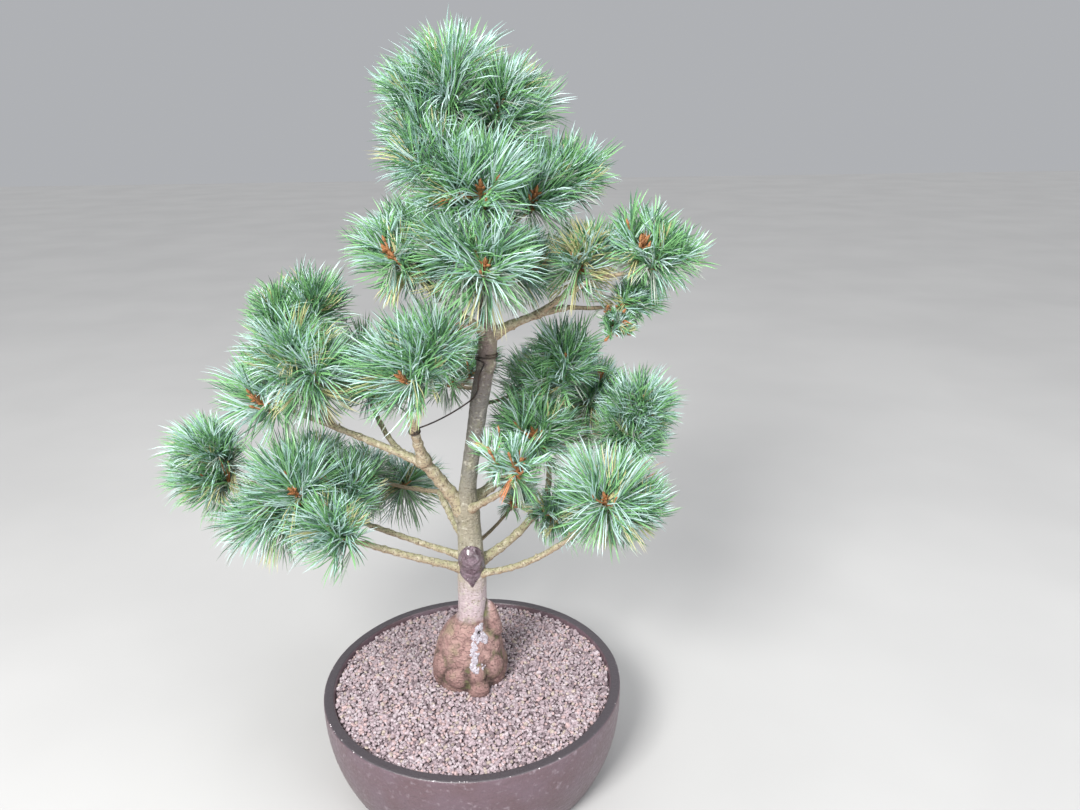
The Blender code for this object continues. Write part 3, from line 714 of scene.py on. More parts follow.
def eased_path(points, radii, step):
    """A smooth line through a limb's points, close enough together for bark."""
    ends = np.vstack([2 * points[0] - points[1], points, 2 * points[-1] - points[-2]])
    fine = []
    thick = []
    for index in range(len(points) - 1):
        before, start, end, after = ends[index:index + 4]
        count = max(2, math.ceil(np.linalg.norm(end - start) / step))
        for part in np.arange(count) / count:
            curve = 2 * start + (end - before) * part
            curve += (2 * before - 5 * start + 4 * end - after) * part ** 2
            curve += (3 * start - before - 3 * end + after) * part ** 3
            fine.append(curve / 2)
            thick.append(radii[index] * (1 - part) + radii[index + 1] * part)
    fine.append(points[-1])
    thick.append(radii[-1])
    return np.array(fine), np.array(thick)


def cross_frame(ahead, guide=None):
    """Two unit vectors square to a direction, the second as near the guide as it can be."""
    if guide is None:
        guide = np.array((0.0, 0.0, 1.0) if abs(ahead[2]) < NEARLY_UPRIGHT else (1.0, 0.0, 0.0))
    side = unit(np.cross(ahead, guide))
    return side, np.cross(side, ahead)


def outward(turn, side, over):
    """The way out from a line at a turn round it, from side towards over."""
    return math.cos(turn) * side + math.sin(turn) * over


def limb_skin(points, radii, sides, grain=0.0, grain_size=3.0):
    """Points and faces of a round limb along a path, with bark grain on its surface."""
    turn = -2.0 * math.pi * np.arange(sides) / sides
    guide = None
    skin = []
    for index, (point, radius) in enumerate(zip(points, radii)):
        ahead = unit(points[min(index + 1, len(points) - 1)] - points[max(index - 1, 0)])
        side, guide = cross_frame(ahead, guide)
        for angle in turn:
            out = outward(angle, side, guide)
            rough = grain * noise.noise(Vector(point + out * radius) / grain_size) if grain else 0.0
            skin.append(point + out * (radius + rough))
    return np.array(skin), tube_faces(len(points), sides)


class Gathering:
    """Many like shapes joined into one piece."""

    def __init__(self):
        self.points = []
        self.faces = []
        self.count = 0

    def add(self, points, faces):
        self.points.append(np.asarray(points))
        self.faces += [[corner + self.count for corner in face] for face in faces]
        self.count += len(points)

    def piece(self, name, finish, slot, stands_for, smooth=True):
        points = np.concatenate(self.points)
        return new_piece(name, points, self.faces, finish, slot, stands_for, smooth)


def step_lengths(path):
    return np.linalg.norm(np.diff(path, axis=0), axis=1)


def with_knots(points, radii, chance, clear):
    """Radii with a collar at the parent's bark and a swelling at each old bud scar."""
    along = np.concatenate([[0.0], np.cumsum(step_lengths(points))])
    free = np.maximum(along - clear, 0.0)
    shaped = radii * (1.0 + COLLAR_SWELL * np.exp(-free / COLLAR_LENGTH))
    knots = []
    place = clear + chance.uniform(*KNOT_SPACING)
    while place < along[-1] - KNOT_FREE_END:
        shaped = shaped + radii * KNOT_SWELL * np.exp(-((along - place) / KNOT_LENGTH) ** 2)
        knots.append(int(np.argmin(abs(along - place))))
        place += chance.uniform(*KNOT_SPACING)
    return shaped, knots


def spur(points, radii, index, chance):
    """A short dead spur that stands out at a knot."""
    ahead = unit(points[index + 1] - points[index])
    side, over = cross_frame(ahead)
    angle = chance.uniform(0.0, 2.0 * math.pi)
    out = outward(angle, side, over)
    lean = unit(out + ahead * chance.uniform(*SPUR_LEAN))
    length = chance.uniform(*SPUR_LENGTH)
    start = points[index] + out * radii[index] * SPUR_ROOTED
    path = np.array([start + lean * length * part for part in SPUR_PARTS])
    return limb_skin(path, np.array(SPUR_RADII), SPUR_SIDES)


limb_bark, tree, shader = new_finish("bark_limb", 0.82)
place = surface_place(tree)
facing = tree.nodes.new("ShaderNodeNewGeometry")
facing_parts = tree.nodes.new("ShaderNodeSeparateXYZ")
tree.links.new(facing.outputs["Normal"], facing_parts.inputs["Vector"])
upward = ramp_value(tree, facing_parts.outputs["Z"], -0.2, 0.7)
downward = ramp_value(tree, facing_parts.outputs["Z"], -0.2, -0.8)
tone = mix_colours(tree, upward, SIDE_OF_LIMB, TOP_OF_LIMB)
tone = mix_colours(tree, downward, tone, UNDER_LIMB)
tone = speckled(tree, tone, LIMB_PALE, place, 4.5, 0.5, 0.68, 0.65)
tone = speckled(tree, tone, LIMB_SCAR, place, 1.8, 0.52, 0.66, 0.85)
tree.links.new(tone, shader.inputs["Base Color"])
add_relief(tree, shader, cloud(tree, place, 1.4), 0.35)
add_relief(tree, shader, cloud(tree, place, 0.45), 0.10)

limbs = {}
for name, size in BOUGHS.items():
    base = limb_base(limbs, size.on, size.at)
    path = arc_path(base, size.heading, size.rise, size.turn, size.lift, size.length, BOUGH_STEP)
    limbs[name] = Limb(path, np.linspace(size.thick, size.tip, len(path)))

for seed, (name, size) in enumerate(BOUGHS.items()):
    chance = np.random.default_rng(seed)
    fine, thick = eased_path(limbs[name].points, limbs[name].radii, FINE_STEP)
    inside = trunk_radius(size.at) if size.on == "trunk" else BOUGHS[size.on].tip
    shaped, knots = with_knots(fine, thick, chance, inside)
    shaped[-2:] *= BOUGH_END
    bough = Gathering()
    bough.add(*limb_skin(fine, shaped, BOUGH_SIDES, *BOUGH_GRAIN))
    for knot in knots:
        if chance.random() < SPUR_SHARE:
            bough.add(*spur(fine, shaped, knot, chance))
    bough.piece(name + "_bark", limb_bark, "bark", [name])

# Wound paste and sap
# A pruning wound on the front of the stem is sealed with dark paste, still glossy. White sap has
# run from a knot hole in the graft and dried, with a few splashes beside its run.
PASTE_CENTRE = (-84.0, 135.0)
PASTE_OUTLINE = (
    (0, 17.0), (25, 18.0), (52, 18.5), (80, 21.5), (95, 22.5), (115, 19.5), (135, 17.5),
    (160, 18.0), (180, 18.5), (205, 17.5), (232, 15.5), (256, 16.5), (270, 22.0), (282, 16.5),
    (305, 14.0), (330, 15.0),
)
PASTE_THICK = 1.5
SAP_RING = 15
SAP_RING_REACH = (3.6, 8.0)
SAP_RUN = 12
SAP_RUN_FROM = (-73.0, 55.5)
SAP_RUN_TO = (-78.0, 35.0)
SAP_SPLASHES = 9
RING_DROP = (1.9, 3.3)
RUN_DROP = (2.1, 3.6)
RUN_STRAY = (1.8, 0.4)
SPLASH_BEARINGS = (-88.0, -56.0)
SPLASH_HEIGHTS = (34.0, 49.0)
SPLASH_REACH = (0.7, 1.6)
SAP_THICK = 0.5
SAP_SUBSURFACE = 0.15
SAP_SUBSURFACE_REACH = 0.001
PATCH_UNDER = -0.8
PASTE_TONES = ((0.060, 0.034, 0.045), (0.150, 0.100, 0.125))
PASTE_FLECK = (0.035, 0.020, 0.026)
PASTE_GLOSS = 0.9
PASTE_GLOSS_ROUGHNESS = 0.20
PASTE_ROUGHNESS_RAMP = (-0.9, 3.0)
SAP_TONES = ((0.530, 0.515, 0.575), (0.300, 0.262, 0.300))
SAP_FLECK = (0.190, 0.140, 0.145)


def patch_on_trunk(centre, outline, thick, seed, rings, sides):
    """A closed skin that lies on the bark, thickest in its middle, inside a round outline."""
    bearing, height = centre
    around = np.arange(sides) * 360.0 / sides
    angles = [angle for angle, _ in outline]
    reaches = [reach for _, reach in outline]
    edge = np.interp(around, angles + [360.0], reaches + [reaches[0]])
    over = []
    under = []
    for ring in range(1, rings + 1):
        part = ring / rings
        for angle, reach in zip(np.radians(around), edge):
            across = reach * part * math.cos(angle)
            up = reach * part * math.sin(angle)
            turn = bearing + math.degrees(across / trunk_radius(height + up))
            swell = noise.noise(Vector((across / 3.0, up / 3.0, seed)))
            lift = thick * math.sqrt(max(0.0, 1.0 - part ** 2.5)) * (1.0 + 0.8 * swell)
            over.append(trunk_surface(turn, height + up, lift))
            under.append(trunk_surface(turn, height + up, PATCH_UNDER))
    points = [trunk_surface(bearing, height, thick)] + over
    points += [trunk_surface(bearing, height, PATCH_UNDER)] + under
    below = 1 + rings * sides
    faces = []
    for side in range(sides):
        following = (side + 1) % sides
        faces.append([0, 1 + side, 1 + following])
        faces.append([below, below + 1 + following, below + 1 + side])
        for ring in range(rings - 1):
            low = 1 + ring * sides
            high = low + sides
            faces.append([low + side, high + side, high + following, low + following])
            faces.append([below + low + following, below + high + following,
                          below + high + side, below + low + side])
        last = 1 + (rings - 1) * sides
        faces.append([last + side, below + last + side, below + last + following, last + following])
    return np.array(points), faces


paste, tree, shader = mottled(
    "wound_paste", 0.25, PASTE_TONES, 6.0, flecks=(1.5, 0.6, 0.7, PASTE_FLECK), relief=(2.5, 0.6),
)
shader.inputs["Coat Weight"].default_value = PASTE_GLOSS
shader.inputs["Coat Roughness"].default_value = PASTE_GLOSS_ROUGHNESS
uneven_gloss(tree, shader, 3.0, *PASTE_ROUGHNESS_RAMP)
wound = Gathering()
wound.add(*patch_on_trunk(PASTE_CENTRE, PASTE_OUTLINE, PASTE_THICK, 3.0, rings=12, sides=72))
wound.piece("wound_paste", paste, "bark", ["trunk"])

resin, tree, shader = mottled(
    "dried_sap", 0.42, SAP_TONES, 2.4, flecks=(1.0, 0.54, 0.62, SAP_FLECK), relief=(1.0, 0.4),
)
shader.inputs["Subsurface Weight"].default_value = SAP_SUBSURFACE
shader.inputs["Subsurface Radius"].default_value = (SAP_SUBSURFACE_REACH,) * 3
chance = np.random.default_rng(3)
drops = []
for index in range(SAP_RING):
    turn = math.radians(50.0 + 280.0 * index / (SAP_RING - 1))
    away = chance.uniform(*SAP_RING_REACH)
    across = math.degrees(away * math.cos(turn) / trunk_radius(DIMPLE[1]))
    height = DIMPLE[1] + away * math.sin(turn)
    drops.append((DIMPLE[0] + across, height, chance.uniform(*RING_DROP)))
for index in range(SAP_RUN):
    spot = np.array(SAP_RUN_FROM) + (np.array(SAP_RUN_TO) - SAP_RUN_FROM) * index / (SAP_RUN - 1)
    spot = spot + chance.normal(size=2) * RUN_STRAY
    drops.append((*spot, chance.uniform(*RUN_DROP)))
for index in range(SAP_SPLASHES):
    spot = (chance.uniform(*SPLASH_BEARINGS), chance.uniform(*SPLASH_HEIGHTS))
    drops.append((*spot, chance.uniform(*SPLASH_REACH)))
sap = Gathering()
for seed, (bearing, height, reach) in enumerate(drops):
    wobble = chance.uniform(0.75, 1.25, 8) * reach
    outline = [(45.0 * step, float(wobble[step])) for step in range(8)]
    sap.add(*patch_on_trunk((bearing, height), outline, SAP_THICK, float(seed), rings=3, sides=16))
sap.piece("dried_sap", resin, "bark", ["trunk"])

# The wire
# A dark iron guy wire is wound round the stem and pulls the upper left bough in. It runs down
# the bark from its first turns, crosses the gap and ends in a loop round the bough.
WIRE_RADIUS = 0.75
WIRE_LIFT = 0.9
WIRE_DOWN = (
    (-94, 337.0), (-105, 332.0), (-115, 326.0), (-113, 319.0), (-110, 312.0), (-125, 305.0),
    (-150, 301.0), (-167, 299.0),
)
WIRE_TURNS = 2
WIRE_TURN_STEP = 12
WIRE_HEIGHT = 339.0
WIRE_PITCH = 2.6
WIRE_SAG = 2.5
WIRE_BOUGH = "bough_left_up"
WIRE_BOUGH_AT = 0.65
WIRE_LOOP_TURNS = 1.5
WIRE_SPAN_PARTS = (0.2, 0.4, 0.6, 0.8)
WIRE_STEP = 2.0
WIRE_SIDES = 8
WIRE_TONES = ((0.030, 0.026, 0.028), (0.085, 0.055, 0.042))
WIRE_METAL = 0.4


def wire_round_limb(centre, ahead, radius, turns):
    """Points of a close coil round a limb."""
    side, over = cross_frame(ahead)
    steps = round(turns * WIRE_TURN_STEP * 2)
    coil = []
    for step in range(steps + 1):
        turn = math.tau * turns * step / steps
        out = outward(turn, side, over)
        along = ahead * WIRE_PITCH * (turns * step / steps - turns / 2.0)
        coil.append(centre + along + out * (radius + WIRE_LIFT))
    return coil


wire_points = []
for step in range(WIRE_TURNS * WIRE_TURN_STEP):
    turn = step / WIRE_TURN_STEP
    height = WIRE_HEIGHT + WIRE_PITCH * (WIRE_TURNS - turn)
    wire_points.append(trunk_surface(WIRE_DOWN[0][0] + 360.0 * turn, height, WIRE_LIFT))
wire_points += [trunk_surface(bearing, height, WIRE_LIFT) for bearing, height in WIRE_DOWN]
held = limbs[WIRE_BOUGH]
held_ahead = unit(held.points[-1] - held.points[0])
held_radius = float(np.interp(WIRE_BOUGH_AT, np.linspace(0, 1, len(held.radii)), held.radii))
held_place = point_along(held.points, WIRE_BOUGH_AT)
loop = wire_round_limb(held_place, held_ahead, held_radius, WIRE_LOOP_TURNS)
start = wire_points[-1]
for part in WIRE_SPAN_PARTS:
    sag = np.array([0.0, 0.0, -4.0 * WIRE_SAG * part * (1.0 - part)])
    wire_points.append(start + (loop[0] - start) * part + sag)
wire_points += loop
iron, _, shader = mottled("iron_wire", 0.5, WIRE_TONES, 6.0, relief=(1.0, 0.15))
shader.inputs["Metallic"].default_value = WIRE_METAL
wire_thick = np.full(len(wire_points), WIRE_RADIUS)
wire_points, wire_thick = eased_path(np.array(wire_points), wire_thick, WIRE_STEP)
wire = Gathering()
wire.add(*limb_skin(wire_points, wire_thick, WIRE_SIDES))
wire.piece("guy_wire", iron, "bark", ["trunk"])

# The gravel
# The soil is topped with angular crushed stone, 3 to 6 mm across, in mauve, grey, pink and tan.
# It is heaped a little round the foot of the trunk and lies just below the pot's rim.
SOIL_CLEARANCE = 0.6
STONE_COUNT = 8200
STONE_HALF = (1.7, 3.0)
LARGE_SHARE = 0.045
LARGE_HALF = (3.1, 4.2)
GOLDEN_ANGLE = math.pi * (3.0 - math.sqrt(5.0))
GOLDEN_RATIO = (1.0 + math.sqrt(5.0)) / 2.0
STONE_TONES = {
    "mauve": (0.44, (0.385, 0.305, 0.332)),
    "grey": (0.26, (0.475, 0.405, 0.432)),
    "pink": (0.13, (0.485, 0.350, 0.350)),
    "tan": (0.05, (0.450, 0.375, 0.325)),
    "dark": (0.12, (0.205, 0.155, 0.172)),
}
BED_SIDES = 96
BED_RINGS = 40
BED_UNDER_STONE = 3.4
BED_ROUGH = 0.8
BED_ROUGH_SIZE = 3.0
BED_TONES = ((0.160, 0.122, 0.130), (0.280, 0.220, 0.235))
STONE_SHADE = 0.68
STONE_STRAY = 1.1
STONE_SUNK = (-2.4, 0.4)
STONE_TIP = 0.7
STONE_EDGE = 0.5
STONE_FACE_REACH = 2.1
STONE_ROUGH = (0.70, 1.12)
STONE_WIDTH = (0.62, 0.95)
STONE_DEPTH = (0.5, 0.8)
STONE_OFF_BARK = 1.5
STONE_OFF_POT = 1.2
MOUND_HALF = 42.0
MOUND_SLOPE = 92.0
FAR_SIDE_DROP = 1.3
ROLL_HEIGHT = 1.6
ROLL_SIZE = 38.0


def gravel_level(x, y):
    """The height of the stone, heaped at the trunk and lower towards the far side."""
    away = math.hypot(x, y)
    slope = clamped((away - MOUND_HALF) / MOUND_SLOPE)
    eased = slope * slope * (3.0 - 2.0 * slope)
    rolling = ROLL_HEIGHT * noise.noise(Vector((x / ROLL_SIZE, y / ROLL_SIZE, 4.0)))
    drop = FAR_SIDE_DROP * max(0.0, y / RIM_RADIUS)
    return SOIL_EDGE + SOIL_MOUND * (1.0 - eased) + rolling - drop


def in_trunk(x, y):
    """Whether a stone would lie inside the trunk where that comes up through the gravel."""
    row = round(BELOW_SOIL / TRUNK_STEP)
    across = x - trunk_leans[row]
    column = round(math.atan2(y, across) / math.tau * TRUNK_SIDES) % TRUNK_SIDES
    return math.hypot(across, y) < trunk_reach[row, column] - STONE_OFF_BARK


def even_stone():
    """The twelve corners of an even stone, each 2 away from the five next to it."""
    corners = []
    for a in (-1.0, 1.0):
        for b in (-GOLDEN_RATIO, GOLDEN_RATIO):
            corners += [(0.0, a, b), (a, b, 0.0), (b, 0.0, a)]
    return np.array(corners)


def stone_shape(chance):
    """The corners of one crushed stone, about its own centre."""
    corners = even_stone() / math.hypot(1.0, GOLDEN_RATIO)
    corners *= chance.uniform(*STONE_ROUGH, (12, 1))
    half = chance.uniform(*(LARGE_HALF if chance.random() < LARGE_SHARE else STONE_HALF))
    corners *= half * np.array([1.0, chance.uniform(*STONE_WIDTH), chance.uniform(*STONE_DEPTH)])
    turn = Matrix.Rotation(chance.uniform(0, math.tau), 3, "Z")
    tip = Matrix.Rotation(chance.uniform(-STONE_TIP, STONE_TIP), 3, "X")
    roll = Matrix.Rotation(chance.uniform(-STONE_TIP, STONE_TIP), 3, "Y")
    return corners @ np.array(turn @ tip @ roll).T


def stone_faces():
    """The twenty faces of a stone, found as the corners that lie a side apart."""
    corners = even_stone()
    apart = np.linalg.norm(corners[:, None] - corners[None, :], axis=2)
    near = apart < STONE_FACE_REACH
    faces = []
    for i in range(12):
        for j in range(i + 1, 12):
            for k in range(j + 1, 12):
                if near[i, j] and near[j, k] and near[i, k]:
                    square = np.cross(corners[j] - corners[i], corners[k] - corners[i])
                    faces.append([i, j, k] if np.dot(square, corners[i]) > 0 else [i, k, j])
    return faces


def round_points(radius, sides):
    """The corners of a round outline, as x and y."""
    turns = [math.tau * side / sides for side in range(sides)]
    return [(radius * math.cos(turn), radius * math.sin(turn)) for turn in turns]


bed_finish, _, _ = mottled("damp_grit", 0.95, BED_TONES, 3.0, relief=(2.0, 0.8))
bed_points = []
bed_low = BASE_THICKNESS + JOINT_GAP
for radius in (1.0, inside_radius(bed_low) - SOIL_CLEARANCE):
    bed_points += [(x, y, bed_low) for x, y in round_points(radius, BED_SIDES)]
edge_radius = inside_radius(SOIL_EDGE) - SOIL_CLEARANCE
for ring in range(BED_RINGS):
    radius = max(1.0, edge_radius * (1.0 - ring / (BED_RINGS - 1)))
    for x, y in round_points(radius, BED_SIDES):
        spot = Vector((x / BED_ROUGH_SIZE, y / BED_ROUGH_SIZE, 0.0))
        rough = BED_ROUGH * noise.noise(spot)
        bed_points.append((x, y, gravel_level(x, y) - BED_UNDER_STONE + rough))
new_piece(
    "grit_bed", bed_points, tube_faces(BED_RINGS + 2, BED_SIDES),
    bed_finish, "crushed_stone", ["soil"],
)

chance = np.random.default_rng(11)
faces_of_stone = stone_faces()
stones = {tone: Gathering() for tone in STONE_TONES}
shares = np.cumsum([share for share, _ in STONE_TONES.values()])
for index in range(STONE_COUNT):
    radius = (edge_radius - STONE_OFF_POT) * math.sqrt((index + 0.5) / STONE_COUNT)
    turn = GOLDEN_ANGLE * index
    x = radius * math.cos(turn) + chance.uniform(-STONE_STRAY, STONE_STRAY)
    y = radius * math.sin(turn) + chance.uniform(-STONE_STRAY, STONE_STRAY)
    shape = stone_shape(chance)
    sunk = chance.uniform(*STONE_SUNK)
    tone = list(STONE_TONES)[int(np.searchsorted(shares, chance.random() * shares[-1]))]
    if math.hypot(x, y) < edge_radius - STONE_EDGE and not in_trunk(x, y):
        stones[tone].add(shape + np.array([x, y, gravel_level(x, y) + sunk]), faces_of_stone)
for tone, (_, colour) in STONE_TONES.items():
    shade = tuple(STONE_SHADE * part for part in colour)
    finish, _, _ = mottled("stone_" + tone, 0.9, (colour, shade), 2.4, relief=(0.8, 0.25))
    stones[tone].piece("gravel_" + tone, finish, "crushed_stone", ["soil"], smooth=False)

# The shoots
# Foliage grows in masses. A leading stem meets its bough's tip or the trunk, and side shoots fork
# from half way up it. Finer shoots ring each end, orange-brown, each closed by a pointed bud.
TIP = 0.98
Mass = namedtuple("Mass", "on at heading rise length sides needle open")
MASSES = {
    "foliage_apex_left": Mass("trunk", 524, -175, 30, 56, ((150, 25, 34),), 60, 95),
    "foliage_apex_right": Mass("trunk", 520, 15, 25, 48, ((-85, 30, 34),), 50, 95),
    "foliage_apex_rear": Mass("trunk", 516, 90, 30, 66, (), 50, 95),
    "foliage_crown_left": Mass("trunk", 473, -160, 38, 76, ((55, -35, 26),), 50, 105),
    "foliage_crown_front": Mass("trunk", 443, -85, 35, 72, ((-60, -5, 34),), 54, 100),
    "foliage_crown_right": Mass("trunk", 448, 10, 20, 94, ((-80, 15, 24),), 50, 95),
    "foliage_crown_rear": Mass("trunk", 453, 120, 35, 106, ((-85, -15, 62),), 50, 100),
    "foliage_high_left_tip": Mass("bough_high_left", TIP, -165, 35, 34, (), 46, 100),
    "foliage_high_left": Mass("bough_high_left", 0.70, 135, 40, 58, (), 50, 100),
    "foliage_high_front": Mass("trunk", 383, -85, 30, 80, ((-65, 15, 46),), 56, 105),
    "foliage_high_right": Mass("bough_high_right_up", 0.45, 5, 50, 46, (), 48, 90),
    "foliage_high_right_tip": Mass(
        "bough_high_right_up", TIP, -10, 5, 66, ((60, 45, 30),), 50, 105,
    ),
    "foliage_high_right_low": Mass("bough_high_right", TIP, -5, -5, 66, ((-60, -35, 30),), 46, 95),
    "foliage_high_rear": Mass("bough_rear_high", TIP, 105, 25, 74, ((-90, -40, 54),), 50, 100),
    "foliage_high_rear_left": Mass("trunk", 399, 125, 10, 100, (), 50, 100),
    "foliage_left_front": Mass("bough_left_up", TIP, -20, 55, 66, ((-125, -40, 24),), 54, 105),
    "foliage_left_rear": Mass("bough_left_rear", TIP, 130, 50, 36, (), 50, 100),
    "foliage_left_top": Mass("bough_left_long", 0.66, 170, 55, 118, ((-120, 10, 62),), 46, 95),
    "foliage_left_outer": Mass("bough_left_long", 0.72, -130, 55, 82, ((75, -20, 34),), 52, 105),
    "foliage_left_tip": Mass("bough_left_long", TIP, -165, 15, 36, (), 52, 110),
    "foliage_low_far_tip": Mass("bough_low_far_left", TIP, 180, 20, 110, ((10, -25, 48),), 50, 105),
    "foliage_low_far_front": Mass("bough_low_far_left", 0.94, -150, -15, 54, (), 48, 100),
    "foliage_low_far_top": Mass("bough_low_far_left", 0.86, -120, 30, 62, (), 54, 105),
    "foliage_low_inner": Mass("bough_low_far_left", 0.74, -120, 65, 36, (), 48, 100),
    "foliage_low_left": Mass("bough_low_left", TIP, -155, 20, 38, (), 50, 110),
    "foliage_low_far_rear": Mass("bough_low_far_left", 0.78, 130, 15, 74, (), 50, 100),
    "foliage_rear_low_left": Mass("bough_rear_low", TIP, 150, -10, 112, ((-65, -25, 44),), 50, 100),
    "foliage_right_inner": Mass("bough_right_up", TIP, -135, 50, 40, (), 48, 95),
    "foliage_right_top": Mass("bough_right_rear", 0.75, -35, 60, 114, ((-150, 5, 38),), 48, 95),
    "foliage_right_rear": Mass("bough_right_rear", TIP, 10, 40, 66, ((55, -75, 34),), 50, 100),
    "foliage_right_outer": Mass("bough_right_rear", 0.86, -20, 15, 112, ((-5, -30, 40),), 48, 100),
    "foliage_low_right": Mass("bough_low_right", TIP, 5, 10, 56, ((-125, 40, 30),), 54, 110),
    "foliage_low_right_inner": Mass("bough_right_up", 0.16, -15, -25, 30, (), 34, 100),
    "foliage_front": Mass("bough_front", TIP, -60, 45, 40, ((-125, -5, 30),), 50, 105),
    "foliage_rear_left": Mass("bough_rear", TIP, 135, -15, 76, ((-70, 25, 46),), 50, 100),
    "foliage_rear_right": Mass("bough_rear", 0.70, 55, -10, 88, (), 50, 100),
    "foliage_rear_low_right": Mass("trunk", 149, 65, -5, 116, (), 50, 100),
}
STEM_LIFT = 20.0
STEM_THICK = 2.1
STEM_OF_TIP = 0.85
SHOOT_THICK = 1.7
SHOOT_TIP = 1.2
TWIG_STEP = 22.0
FIRST_FORK = 0.5
UPTURN = 0.85
TWIG_SIDES = 9
FINE_SHOOTS = 5
FULL_MASSES = (
    "foliage_right_inner", "foliage_right_outer", "foliage_right_rear", "foliage_low_far_tip",
)
FULL_SHOOTS = 8
FINE_BACK = (4.0, 30.0)
FINE_LENGTH = (15.0, 27.0)
FINE_SPLAY = 50.0
FINE_LIFT = 0.16
FINE_AHEAD = 0.06
FINE_PARTS = 4
FINE_TURN_STRAY = 0.3
FINE_SPLAY_STRAY = 12.0
FINE_RADII = (1.25, 1.15, 1.05, 0.95, 0.85)
YOUNG_LENGTH = 27.0
YOUNG_SHARE = 0.30
YOUNG_RADII = (1.6, 2.0, 2.2, 2.2, 1.9)
FINE_SIDES = 6
BUD_PROFILE = ((-0.8, 0.75), (0.6, 1.35), (2.4, 1.5), (4.6, 0.85), (6.2, 0.15))
BUD_SIDES = 6
END_BUD_SCALE = 1.35
SIDE_BUDS = 5
SIDE_BUD_SCALE = (0.7, 1.05)
SIDE_BUD_OUT = 1.6
SIDE_BUD_BACK = 1.0
SIDE_BUD_SPLAY = 0.9
TWIG_GRAIN = (0.35, 2.0)
YOUNG_GRAIN = (0.9, 1.5)
FINE_GRAIN = (0.15, 1.5)
TWIG_SKIN_STEP = 3.0
YOUNG_SKIN_STEP = 1.5
TWIG_TONES = ((0.300, 0.230, 0.155), (0.250, 0.215, 0.140))
TWIG_FLECK = (0.120, 0.080, 0.055)
YOUNG_TONES = ((0.430, 0.195, 0.080), (0.290, 0.125, 0.055))
BUD_TONES = ((0.480, 0.215, 0.085), (0.270, 0.095, 0.035))


def plan_mass(size):
    """The leading stem of one mass, and the side shoots that fork from half way up it."""
    base = limb_base(limbs, size.on, size.at)
    stem = arc_path(base, size.heading, size.rise, 0.0, STEM_LIFT, size.length, TWIG_STEP)
    thick = STEM_THICK if size.at != TIP else STEM_OF_TIP * BOUGHS[size.on].tip
    shoots = [Limb(stem, np.linspace(thick, SHOOT_TIP, len(stem)))]
    for turn, climb, length in size.sides:
        fork = point_along(stem, FIRST_FORK)
        heading, rise = size.heading + turn, size.rise + climb
        path = arc_path(fork, heading, rise, 0.0, STEM_LIFT, length, TWIG_STEP)
        shoots.append(Limb(path, np.linspace(SHOOT_THICK, SHOOT_TIP, len(path))))
    return shoots


def turned_up(line):
    """A shoot's needles stand about its own line, turned up towards the light."""
    return unit(unit(line) + np.array([0.0, 0.0, UPTURN]))


def run_back(path, back):
    """The point of a path at a distance back from its end."""
    from_end = np.concatenate([[0.0], np.cumsum(step_lengths(path)[::-1])])
    return np.array([np.interp(back, from_end, path[::-1, axis]) for axis in range(3)])


def fine_shoots(path, count, chance):
    """Short shoots that fork off a shoot behind its end, spread round it and turned up."""
    line = unit(path[-1] - path[-4])
    side, over = cross_frame(line)
    start_turn = chance.uniform(0.0, math.tau)
    grown = []
    for index in range(count):
        turn = start_turn + GOLDEN_ANGLE * index
        turn += chance.uniform(-FINE_TURN_STRAY, FINE_TURN_STRAY)
        out = outward(turn, side, over)
        stray = chance.uniform(-FINE_SPLAY_STRAY, FINE_SPLAY_STRAY)
        splay = math.radians(FINE_SPLAY + stray)
        ahead = math.cos(splay) * line + math.sin(splay) * out
        back = FINE_BACK[0] + (FINE_BACK[1] - FINE_BACK[0]) * (index + chance.random()) / count
        length = chance.uniform(*FINE_LENGTH)
        points = [run_back(path, back)]
        for _ in range(FINE_PARTS):
            ahead = unit(ahead + np.array([0.0, 0.0, FINE_LIFT]) + FINE_AHEAD * line)
            points.append(points[-1] + ahead * length / FINE_PARTS)
        grown.append(np.array(points))
    return grown


def bud(tip, ahead, scale):
    path = np.array([tip + ahead * along * scale for along, _ in BUD_PROFILE])
    return limb_skin(path, np.array([radius * scale for _, radius in BUD_PROFILE]), BUD_SIDES)


def bud_cluster(tip, line, chance):
    """A large end bud with smaller ones round its foot."""
    side, over = cross_frame(line)
    cluster = [bud(tip, line, END_BUD_SCALE)]
    for index in range(SIDE_BUDS):
        turn = math.tau * (index + chance.uniform(-0.2, 0.2)) / SIDE_BUDS
        out = outward(turn, side, over)
        foot = tip + out * SIDE_BUD_OUT - line * SIDE_BUD_BACK
        ahead = unit(line + out * SIDE_BUD_SPLAY)
        cluster.append(bud(foot, ahead, chance.uniform(*SIDE_BUD_SCALE)))
    return cluster


